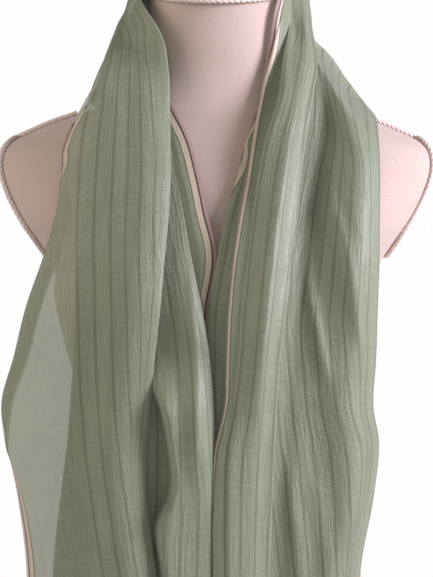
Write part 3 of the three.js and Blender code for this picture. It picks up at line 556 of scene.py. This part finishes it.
def profileDown(turn):
    # how far out the form lies at each height in the upright plane at a turn, its outward direction, and
    # the length measured down it from the top
    z = np.arange(formTop + 18, 700, -0.75)
    r = backRadius(np.radians(turn), z)
    dr, dz = np.gradient(r), np.gradient(z)
    length = np.hypot(dr, dz)
    s = summed(np.hypot(np.diff(r), np.diff(z)))
    return {"z": z, "r": r, "outR": -dz / length, "outZ": dr / length, "s": s}


def neckSection(turn, share):
    # lengths s down the profile and distances n out from it: down the form from the inner selvedge to the
    # lower fold, up to the upper fold and down again, the tips rounded by exp(-(distance / turnBack)^2)
    down = profileDown(turn)
    row = {name: float(value) for name, value in rowAt(neckTable, "turn", np.array(float(turn))).items()}
    lengths = (float(np.interp(-row[name], -down["z"], down["s"])) for name in ("seam", "bottom", "top"))
    seam, bottom, top = lengths
    # at the shoulders the shares crowd up towards the neck, so that the stripes hang straight down from there
    name, beyond = ("left", turn) if turn < 90 else ("right", 180 - turn)
    share = mix(share, np.interp(share, *gather[name]), ease(1 - beyond / 60))
    hinge = math.radians(row["hinge"])
    tip = lambda distance: np.exp(-(distance / scarf["turnBack"]) ** 2)
    first, second, third = (np.clip(share - k, 0, 1) for k in range(3))
    s1 = mix(seam, bottom, first)
    n1 = mix(scarf["clearance"], row["bottomOut"], tip(bottom - s1))
    s2 = mix(bottom, top, second)
    flat = row["mid"] + row["swell"] * np.sin(np.pi * second) ** 2
    n2 = mix(mix(flat, row["bottomOut"], tip(bottom - s2)), row["topOut"], tip(s2 - top))
    reach = row["flap"] * third
    outside = (row["outer"] - row["topOut"]) * (1 - tip(reach)) * max(0, math.cos(hinge))
    s3 = top + reach * math.cos(hinge)
    n3 = row["topOut"] + reach * math.sin(hinge) + outside
    s, n = (np.where(share <= 1, a, np.where(share <= 2, b, c)) for a, b, c in ((s1, s2, s3), (n1, n2, n3)))
    foot = {name: np.interp(s, down["s"], down[name]) for name in ("z", "r", "outR", "outZ")}
    return s, n, foot


def foldLines(tip, towards, liftIn, liftOut, room=15.0):
    # a fold's three lines: the layer coming in at its own lift, the tip further on by the fold's radius, at
    # the mean of the two lifts, and the layer going back at its lift
    back = tip - towards * np.minimum(scarf["foldRadius"], 0.4 * room)
    return [(back, liftIn), (tip, (liftIn + liftOut) / 2), (back, liftOut)]


def rolledLines(edge, towards, lift, rollDegrees, flap):
    # an edge strip turned about its hinge: a share of its width times the roll's cosine outwards, and that
    # times the bulge and the roll's sine downwards, parted from its layer by half the parting times one
    # less the cosine
    roll = np.radians(rollDegrees)
    hinge = edge - towards * flap["width"] * np.maximum(0, np.cos(roll))
    parted = flap["parting"] * (1 - np.cos(roll)) / 2
    strip = [(hinge + towards * flap["width"] * share * np.cos(roll),
              lift - parted * min(1, 2 * share) - flap["bulge"] * flap["width"] * share * np.sin(roll))
             for share in (0.5, 1)]
    return [(hinge - towards * 5, lift), (hinge, lift - parted / 2)] + strip


def leftLines(z):
    # each line's distance from the chest's middle and its lift, from the inner selvedge out: the rear
    # layer, its pleat, the middle layer to the hidden fold, the layer under the panel to the front fold,
    # and the panel to its rolled edge
    selvedge, crest, hidden, front, outer, roll, under, crestLift = rowAt(leftTable, "z", z).values()
    rear, rearMid, mid, panel = (lift + 0 * z for lift in (1, 6.5, 11.5, 16.5))  # the four layers' lifts
    turned = np.maximum(crest, selvedge) + 16
    return [(selvedge, rear), (mix(selvedge, turned, 0.35), rear),
            *foldLines(turned, 1, rear, under - 0.6),
            *foldLines(crest, -1, under + 0.6, crestLift),
            (mix(crest, hidden, 0.3), mix(crestLift, rearMid, 0.6)),
            (mix(crest, hidden, 0.62), mix(crestLift, rearMid, 0.9)),
            *foldLines(hidden, 1, rearMid - 1, mid - 1),
            (mix(hidden, front, 0.35), mid), (mix(hidden, front, 0.7), mid + 0.3),
            *foldLines(front, -1, mid + 0.5, panel + 1),
            (mix(front, outer, 0.22), panel + 3), (mix(front, outer, 0.42), panel + 1),
            (mix(front, outer, 0.62), panel + 1), (mix(front, outer, 0.8), panel - 1),
            *rolledLines(outer, 1, panel - 2, roll, hemFlap)]


def rightLines(z):
    # the same for the right fall: the rear layer from its rolled edge to the outer fold, the face down into
    # the valley, the pleat, the ridge beside it, the turned-in brink, and the border rolled to the selvedge
    (rear, outer, valley, ridge, turnIn, selvedge, rearLift, ridgeLift, crown, selvedgeLift, edgeDrop,
     brinkRise, roll, rearRoll) = rowAt(rightTable, "z", z).values()
    low, width = rearLift + 4.5, ridge - turnIn
    pleat = ridge - 0.42 * width
    brink, edgeLift = selvedgeLift + 4 + brinkRise, selvedgeLift + 4 - edgeDrop
    return [*reversed(rolledLines(rear, -1, rearLift, rearRoll, rearFlap)),
            (mix(rear, outer, 0.35), rearLift - 0.5), (mix(rear, outer, 0.65), rearLift - 0.5),
            *foldLines(outer, 1, rearLift, low + 3),
            (mix(outer, valley, 0.3), low + 6), (mix(outer, valley, 0.65), low + 2), (valley, low),
            *foldLines(pleat, -1, low, low + 2.9, width),
            *foldLines(ridge, 1, low + 4.1, ridgeLift, width),
            (mix(ridge, turnIn, 0.45), ridgeLift + crown),
            (turnIn + 5, brink + 2), (turnIn, brink), (turnIn - 1.5, edgeLift + 1),
            *rolledLines(np.minimum(turnIn - 9, selvedge), -1, edgeLift, roll, borderFlap)[1:]]


falls = {-1: (leftLines, leftShares), 1: (rightLines, rightShares)}


def alongShares(knots, lines, share):
    # a curve over the shares through the lines, its slopes the harmonic mean of those beside it and level
    # at a turning point, so that a fold's tip is round and no layer swings through another
    knots = np.array(knots, float)
    k = np.clip(np.searchsorted(knots, share, side="right") - 1, 0, len(knots) - 2)
    result = []
    for part in (0, 1):
        value = np.stack([line[part] for line in lines], axis=-1)
        gap = np.diff(knots)
        slope = np.diff(value, axis=-1) / gap
        w1, w2 = 2 * gap[1:] + gap[:-1], gap[1:] + 2 * gap[:-1]
        before, after = slope[..., :-1], slope[..., 1:]
        same = before * after > 0
        safe = np.where(same, before * after, 1)
        inner = np.where(same, (w1 + w2) * safe / np.where(same, w1 * after + w2 * before, 1), 0)
        tangent = np.concatenate([slope[..., :1], inner, slope[..., -1:]], axis=-1)
        column = np.arange(len(share))
        result.append(hermite(value[:, column, k], value[:, column, k + 1], tangent[:, column, k] * gap[k],
                              tangent[:, column, k + 1] * gap[k], (share - knots[k]) / gap[k]))
    return result


def spreadShares():
    # the shares of the mesh's columns: evenly spaced along both falls' cross-sections, closer together
    # where they turn
    fine = np.linspace(0, 3, scarf["fineShares"])
    density = np.zeros(len(fine) - 1)
    for lines, knots in falls.values():
        out, lift = alongShares(knots, lines(np.full((1, len(fine)), scarf["spreadAt"])), fine)
        across, up = np.diff(out[0]), np.diff(lift[0])
        heading = np.unwrap(np.arctan2(up, across))
        density += np.hypot(across, up) + scarf["turnWeight"] * np.abs(np.gradient(heading)) + 0.01
    total = summed(density)
    return np.interp(np.linspace(0, total[-1], scarf["columns"]), total, fine)


spread = spreadShares()


def bell(x, middle, width):  # exp(-(distance from the middle / width)^2)
    return np.exp(-((x - middle) / width) ** 2)


def heightInterp(z, heights, values):  # straight between values that are listed from the top down
    return np.interp(-z, -np.array(heights, float), np.array(values, float))


def crease(out, z, heights, places, width, height):
    # a soft ridge along a line through the places, fading out over its last few centimetres
    middle = heightInterp(z, heights, places)
    ends = ease((heights[0] - z) / 25) * ease((z - heights[-1]) / 25)
    return height * ends * bell(out, middle, width)


def inShares(share, low, high, soft):  # 1 between the two shares and 0 outside them, easing over soft
    return ease((share - low) / soft) * ease((high - share) / soft)


tent = {  # how far out the scarf's outermost layer spans at each height, from the neck to the shoulder
    "left": {"z": [900, 880, 858, 836, 815, 793, 782, 770], "out": [70, 77, 84, 94, 104.5, 113.5, 118, 123]},
    "right": {"z": [900, 880, 862, 848, 840, 832, 822, 810, 798, 785, 775, 768],
              "out": [80, 81.5, 84, 85.5, 88, 97, 105.5, 113.5, 122.5, 132.5, 140.5, 145]},
}


def spanning(side, share, n, foot):
    # how much further out than the form's own curve each layer stands: all of it outermost, none innermost
    name = "left" if side < 0 else "right"
    target = smoothAt(tent[name], "z", "out", foot["z"] + foot["outZ"] * n)
    if side < 0:
        layer = ease((share - 1) / 0.6) * (1 - ease((share - 1.72) / 0.25)) + ease((share - 2) / 0.15)
    else:
        layer = ease((share - 0.25) / 0.75) * (1 - ease((share - 1.8) / 0.18))
    return layer * np.maximum(0, target - foot["r"] - foot["outR"] * n)


def formNormal(out, z):
    # outward from the form's front: the gradient of (out / half)^square + (depth / front)^square, whose
    # radii change with height
    at, above, below = level(z), level(z + 0.5), level(z - 0.5)
    a = np.minimum(np.abs(np.minimum(out, at["half"])) / at["half"], 1)
    b = otherShare(a, at)
    power = at["square"]
    steep = (a ** power * (above["half"] - below["half"]) / at["half"]
             + b ** power * (above["front"] - below["front"]) / at["front"])
    across = np.sign(out) * a ** (power - 1) / at["half"]
    return unit(filled(across, -(b ** (power - 1)) / at["front"], -steep))


def hangingPlace(side, share, drop, ripple):
    # one fall of the scarf, rows of drop by columns of share: each point leaves its place on the shoulder
    # and eases to its line, forward of the form by the greater of the form's own depth and the free
    # cloth's, plus the layer's lift
    turn = 0 if side < 0 else 180
    s, n0, foot = neckSection(turn, share)
    foot["r"] = foot["r"] + spanning(side, share, n0, foot)
    drop = drop[:, None]
    levelled = (foot["z"] - scarf["shoulderMean"]) * settle["levelShare"] * ease(drop / settle["level"])
    z = foot["z"] - drop - levelled
    lines, knots = falls[side]
    lineOut, lineLift = alongShares(knots, lines(z), share)
    # the upper fold swings to the front sooner than the rest, and so does the fall's last edge
    edgeFrom, edgeOver = settle["quickOuter"][side]
    quick = np.maximum(inShares(share, 1.65, 2.75, 0.3), ease((share - edgeFrom) / edgeOver))
    starts, lasts = (mix(slow, soon, quick) for slow, soon in zip(settle["slow"], settle["quick"]))
    out = mix(foot["r"], lineOut, ease((drop - starts) / lasts))
    n = mix(n0, scarf["clearance"] + lineLift, ease(drop / settle["lift"][side]))
    free = ease((drop - settle["freeFrom"]) / settle["freeOver"])
    n = ripple(out, n, z, share, free)
    sway = free * noise(out / 15, z / 110, 3 if side < 0 else 4)  # carries all layers together
    lying = frontDepth(out, z)
    bowed = np.sqrt(np.clip(1 - (out / scarf["hangHalfWidth"]) ** 2, 0, 1))
    hanging = smoothAt(hangTable, "z", "depth", z) * bowed * ease(drop / settle["hang"])
    rounding = 3 * np.exp(-np.abs(lying - hanging) / 6) * ease(drop / settle["blend"])
    far = np.maximum(lying, hanging) + rounding + sway
    forward = np.array([0, -1, 0.0])
    direction = unit(mix(formNormal(out, z), forward, ease(drop / settle["forward"])[..., None]))
    if side < 0:
        lifted = direction * n[..., None]
    else:  # the layers part forwards, which keeps the neck's outline slim
        lifted = direction * n0[..., None] + forward * (n - n0)[..., None]
    place = filled(out, level(z)["lean"] - far, z) + lifted
    place[..., 0] *= side
    return place


def neckPlaces(share):
    # one row of the sheet at each turn from the left shoulder over the back to the right one; near the
    # shoulders it spans as the falls do
    near = 48  # degrees
    rows = []
    for turn in np.linspace(0, 180, scarf["neckRows"] + 2)[1:-1]:
        s, n, foot = neckSection(turn, share)
        side, beyond = (-1, turn) if turn < 90 else (1, 180 - turn)
        r = foot["r"] + foot["outR"] * n + spanning(side, share, n, foot) * ease(1 - beyond / near)
        lean, angle = level(foot["z"])["lean"], math.radians(turn)
        rows.append(filled(-r * math.cos(angle), lean + r * math.sin(angle), foot["z"] + foot["outZ"] * n))
    return np.stack(rows)


def noise(x, y, seed):
    # a smooth wandering value from -1 to 1: four sine waves of unlike length and heading, averaged
    rng = np.random.default_rng(seed)
    total = 0
    for i in range(4):
        a, phase = rng.uniform(0, 2 * np.pi, 2)
        scale = rng.uniform(0.7, 1.5)
        along = scale * (x * math.cos(a) + y * math.sin(a))
        total = total + np.sin(along + phase + 1.3 * np.sin(0.6 * y * scale + a))
    return total / 2.6


creases = {  # heights, distances from the chest's middle, width and height
    "panel": ([800, 700, 600, 500, 400, 140], [84, 84, 88, 92, 88, 90], 9, 1.8),
    "middle": ([645, 600, 560, 520, 480], [22, 18, 16, 15, 16], 4, 2.2),
    "face": [([690, 667, 635, 605, 581, 540], [69, 71.5, 75, 80, 85, 93], 5, 3),
             ([715, 691, 667, 642, 611, 570], [92, 97, 104.5, 109.5, 114.5, 119], 5, 2.6),
             ([510, 488, 469, 445, 426, 250], [50, 53, 58, 62, 66, 86], 8, 3.5),
             ([480, 440, 400, 300, 150], [80, 86, 92, 101, 108], 8, 2)],
}
hollow = {  # the leaf-shaped hollow beside the left panel: how far out the middle layer's swell reaches
    "z": [560, 545, 532, 523, 513, 500, 486, 473, 458, 448, 440, 430, 416, 400, 382, 120],
    "brink": [56, 53, 46, 43, 41, 39, 37, 35.5, 37.5, 42, 47, 50, 49, 45.5, 43.5, 45],
}
outerHump = {"z": [800, 760, 700, 650, 600, 540, 450, 360, 90], "height": [0, 8, 21, 19, 12, 8, 7, 6, 8]}


def leftRipple(out, n, z, share, free):
    # swells, hollows and creases added to the left fall's lift: each a height times how far the point lies
    # within the shares, heights and distances out that it belongs to, and free where it starts below the
    # shoulder
    onPanel = inShares(share, 1.96, 3.2, 0.12)
    front = smoothAt(leftTable, "z", "front", z)
    n = n + free * onPanel * (8 * ease((560 - z) / 90)
                              + (4.5 + 3 * ease((560 - z) / 80)) * bell(out, front + 25, 19)
                              + 0.5 * noise(out / 9, z / 190, 5))
    n = n + onPanel * crease(out, z, *creases["panel"])
    middle = inShares(share, 0.4, 1.02, 0.1)
    low = ease((580 - z) / 60)
    brink = heightInterp(z, hollow["z"], hollow["brink"])
    swell = middle * low * (26 - 3 * ease((452 - z) / 40))
    swell = swell * (0.06 + 0.94 * np.clip((out + 4) / 46, 0, 1) ** 0.8)
    n = n + swell * ease((brink - out) / 7 + 0.5)
    n = n + middle * ease((700 - z) / 60) * (1 - low) * 1.8 * bell(out, 27, 12)
    n = n - middle * 4.5 * bell(out, 53, 9) * ease((570 - z) / 30) * ease((z - 350) / 70)
    n = n + middle * free * 0.6 * noise(out / 6, z / 150, 8)
    n = n + middle * crease(out, z, *creases["middle"])
    n = n + inShares(share, 0.36, 0.6, 0.06) * 5 * ease((640 - z) / 60) * ease((z - 440) / 60)
    return n


def rightRipple(out, n, z, share, free):
    # the same for the right fall: the outer fold's hump, the valley, the ridge's rise, and creases across
    # the face
    outer, valley = (smoothAt(rightTable, "z", name, z) for name in ("outer", "valley"))
    hump = heightInterp(z, outerHump["z"], outerHump["height"])
    layer = ease((share - 0.5) / 0.45) * ease((1.5 - share) / 0.12)
    n = n + layer * hump * bell(out, outer - 17, 24 + 6 * ease((z - 610) / 60))
    n = n - inShares(share, 1.3, 1.56, 0.1) * 2.5 * bell(out, valley, 9) * free
    n = n + inShares(share, 1.6, 3.4, 0.1) * 5 * ease((640 - z) / 60)
    face = inShares(share, 1.04, 1.47, 0.05) * free
    wander = 0.9 * noise((out + 0.19 * z) / 6.5, z / 130, 6)
    n = n + face * (wander + sum(crease(out, z, *each) for each in creases["face"]))
    ridgeFace = inShares(share, 1.66, 2.0, 0.06) * free
    n = n + ridgeFace * 0.5 * noise(out / 5, z / 160, 7)
    return n


panelWarp = {  # how the left panel's threads crowd towards the shoulder, drift lower down, and are spaced
    "z": [870, 855, 830, 821, 800, 778, 758, 726, 669, 614, 549, 485, 455, 407, 377, 250, 100],
    "crowd": [0.48, 0.5, 0.58, 0.62, 0.78, 0.85, 0.93] + [1] * 10,
    "drift": [0] * 8 + [-1.3, 0.3, 2.1, 7.7, 12, 19, 24, 30, 32],
    "about": 76,  # the distance out that they crowd towards
    "out": [37, 51, 62.6, 73.8, 86.2, 100.6, 115, 129, 143, 156.6, 170, 184],
    "across": [-1.2, 12.4, 26, 39.6, 53.2, 66.8, 80.4, 94, 107.6, 121.2, 134.8, 148.4],
}
faceSlant = {"slope": 0.187, "below": 600, "shares": (1.02, 1.6, 0.12)}  # of the right face's stripes


def panelStripes(place, share, u):
    # across-cloth lengths of the front panel, read from where each point hangs, so that its stripes stay
    # upright while its outer edge slants across them
    out = -place[..., 0]
    crowd, drift = (smoothAt(panelWarp, "z", name, place[..., 2]) for name in ("crowd", "drift"))
    about = panelWarp["about"]
    hung = np.interp(about + (out - about) / crowd + drift, panelWarp["out"], panelWarp["across"])
    hinge = int(np.searchsorted(share, 2.88))
    hung[:, hinge:] = hung[:, hinge:hinge + 1] + u[:, hinge:] - u[:, hinge:hinge + 1]
    return mix(u, hung, ease((share - 2.02) / 0.1))


def acrossCloth(left, right, drop):
    # millimetres from the upper fold: each fall's own section far down it, turned into the other's over the
    # neck, then the panel's warp and the slant of the right fall's face
    across = []
    for grid in (left, right):
        low = np.argmin(np.abs(grid[:, len(spread) // 2, 2] - 450))
        run = summed(steps(grid[low]))
        across.append(run - np.interp(2, spread, run))
    print("cloth across the falls", [round(float(w[-1] - w[0])) for w in across])
    rows = len(left) + scarf["neckRows"] + len(right)
    turning = np.zeros((rows, 1))
    turning[len(left):-len(right), 0] = ease(np.linspace(0, 1, scarf["neckRows"]))
    turning[-len(right):] = 1
    u = mix(across[0][None, :], across[1][None, :], turning)
    below = np.maximum(0, faceSlant["below"] - right[..., 2])
    u[-len(right):] += faceSlant["slope"] * below * inShares(spread, *faceSlant["shares"])
    hung = panelStripes(left, spread, u[:len(left)])
    u[:len(left)] = mix(u[:len(left)], hung, ease((drop[::-1, None] - 12) / 40))
    return u


def distanceToEdge(points):
    # the nearer selvedge's distance: the strips between columns added up, each as wide as it is square to
    # its threads
    along = np.gradient(points, axis=0)
    along = unit((along[:, 1:] + along[:, :-1]) / 2)
    strips = np.linalg.norm(np.cross(np.diff(points, axis=1), along), axis=2)
    run = np.concatenate([np.zeros((len(points), 1)), np.cumsum(strips, axis=1)], axis=1)
    return np.minimum(run, run[:, -1:] - run)


def makeScarf(material):
    # one sheet: up the left fall from its hem, round the neck, and down the right fall
    fine = np.linspace(0, 1, scarf["fallRows"])
    down = 0.35 * fine ** 2 + 0.65 * fine  # rows lie closer together near the shoulders
    leftDrop, rightDrop = ((scarf["shoulderMean"] - hem) * down for hem in scarf["hems"])
    left = hangingPlace(-1, spread, leftDrop, leftRipple)[::-1]
    right = hangingPlace(1, spread, rightDrop, rightRipple)
    points = np.concatenate([left, neckPlaces(spread), right])
    v = summed(np.median(steps(points), axis=1))[:, None]  # the usual length from the left hem
    uv = filled(acrossCloth(left, right, leftDrop), v)
    piece = makeMesh("chanderiScarf", points, gridFaces(*points.shape[:2]), uv, "scarf_chanderi", material)
    border = piece.data.attributes.new("edgeDistance", "FLOAT", "POINT")
    border.data.foreach_set("value", distanceToEdge(points).ravel().astype(np.float32))
    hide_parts("scarf_left_fall", "scarf_neck", "scarf_right_fall")
    crossed = np.cross(points[1:, 1:] - points[:-1, :-1], points[1:, :-1] - points[:-1, 1:])
    area = np.linalg.norm(crossed, axis=2).sum() / 2e6
    print("cloth area", round(float(area), 3), "flat", 0.45 * 1.8, "length", round(float(v[-1, 0])))


def chanderiMaterial():
    # handwoven chanderi: silk warp and fine cotton weft, so open that the layer beneath shows; darker warp
    # stripes, and at each selvedge a bare sheer strip, a brown line, a cream band and a green line
    chanderi = {
        "dark": "#838f75", "pale": "#9ca88e", "stripe": "#656c4e",
        "stripeEvery": 13.6, "stripeFrom": 12.4, "stripeWidth": 1.9, "plainFrom": (85.0, 90.0),  # millimetres
        # green line, cream band, brown line and bare strip, by their distances from the selvedge
        "border": [(8.8, 9.8, "#5a6346"), (4.0, 8.8, "#cbc0aa"),
                   (2.5, 4.0, "#3a2a20"), (-1.0, 2.6, "#b49a92")],
        "stripEnds": 2.6, "borderEnds": 10.4,
        "thread": 0.9, "slub": (3.2, 16), "crinkle": (3.4, 24),  # the real threads are 0.25 mm
        "cover": 0.87, "threadCover": 0.2, "stripeCover": 0.05, "borderCover": 0.14, "stripCover": 0.12,
        "roughness": 0.45, "sheen": 0.6, "translucent": 0.16,
    }
    material, tree = newMaterial("handwoven chanderi silk-cotton")
    makers = mathsOf, rangeOf, blendOf, reliefOf, drawnNoise
    maths, ramp, blend, relief, noisy = (partial(make, tree) for make in makers)
    times = partial(maths, "MULTIPLY")
    uv = addNode(tree, "UVMap", uv_map="cloth").outputs[0]
    edge = addNode(tree, "Attribute", attribute_name="edgeDistance").outputs["Fac"]

    def between(value, low, high, soft=0.25):  # 1 inside the two bounds and 0 outside them
        return times(ramp(value, low - soft, low + soft), ramp(value, high - soft, high + soft, True))

    # a stripe wherever the remainder of u by the spacing is near half of it, as far as the panel's plain
    # last part
    u = times(addNode(tree, "SeparateXYZ", {0: uv}).outputs[0], 1000.0)
    every, width = chanderi["stripeEvery"], chanderi["stripeWidth"]
    offset = maths("FLOORED_MODULO", maths("SUBTRACT", u, chanderi["stripeFrom"] - every / 2), every)
    away = maths("ABSOLUTE", maths("SUBTRACT", offset, every / 2))
    stripe = ramp(away, 0.35 * width, 0.9 * width, True, interpolation_type="SMOOTHSTEP")
    stripe = times(stripe, ramp(u, *chanderi["plainFrom"], True))

    # uneven threads both ways, their mean, and here and there a slub
    fine = 1000 / chanderi["thread"]
    threads = maths("ADD", noisy(uv, (fine, 1000 / 40, 1), 2.0), noisy(uv, (1000 / 30, fine, 1), 2.0))
    threads = times(threads, 0.5)
    slub = ramp(noisy(uv, (1000 / chanderi["slub"][0], 1000 / chanderi["slub"][1], 1), 1.0), 0.72, 0.8)

    inside = maths("SUBTRACT", 1.0, between(edge, -1.0, chanderi["borderEnds"]))
    colour = blend(ramp(threads, 0.3, 0.7), chanderi["dark"], chanderi["pale"])
    colour = blend(times(times(stripe, 0.6), inside), colour, chanderi["stripe"])
    colour = blend(times(slub, 0.22), colour, chanderi["stripe"])
    for low, high, tone in chanderi["border"]:
        colour = blend(between(edge, low, high), colour, tone)

    # how much the cloth covers: more under thick threads, stripes and border, less in the bare strip
    woven = between(edge, chanderi["stripEnds"], chanderi["borderEnds"])
    bare = between(edge, -1.0, chanderi["stripEnds"])
    cover = maths("ADD", chanderi["cover"], times(maths("SUBTRACT", threads, 0.5), chanderi["threadCover"]))
    for part, amount in ((stripe, "stripeCover"), (woven, "borderCover")):
        cover = maths("ADD", cover, times(part, chanderi[amount]))
    cover = maths("MINIMUM", maths("SUBTRACT", cover, times(bare, chanderi["stripCover"])), 0.97)

    # the warp draws up into fine crinkles that run along the cloth
    wide, long = chanderi["crinkle"]
    crinkled = relief(noisy(uv, (1000 / wide, 1000 / long, 1), 3.0, distortion=0.9), 0.6, 0.0016)
    normal = relief(threads, 0.3, 0.0005, Normal=crinkled)
    silk = addNode(tree, "BsdfPrincipled", {
        "Base Color": colour, "Roughness": chanderi["roughness"], "Normal": normal,
        "Sheen Weight": chanderi["sheen"], "Sheen Roughness": 0.45, "Specular IOR Level": 0.5})
    through = addNode(tree, "BsdfTranslucent", {"Color": colour, "Normal": normal})
    shares = {0: chanderi["translucent"], 1: silk.outputs[0], 2: through.outputs[0]}
    cloth = addNode(tree, "MixShader", shares).outputs[0]
    clear = addNode(tree, "BsdfTransparent").outputs[0]
    sheer = addNode(tree, "MixShader", {0: cover, 1: clear, 2: cloth})
    addNode(tree, "OutputMaterial", {"Surface": sheer.outputs[0]})
    return material


makeScarf(chanderiMaterial())
print("scarf made")
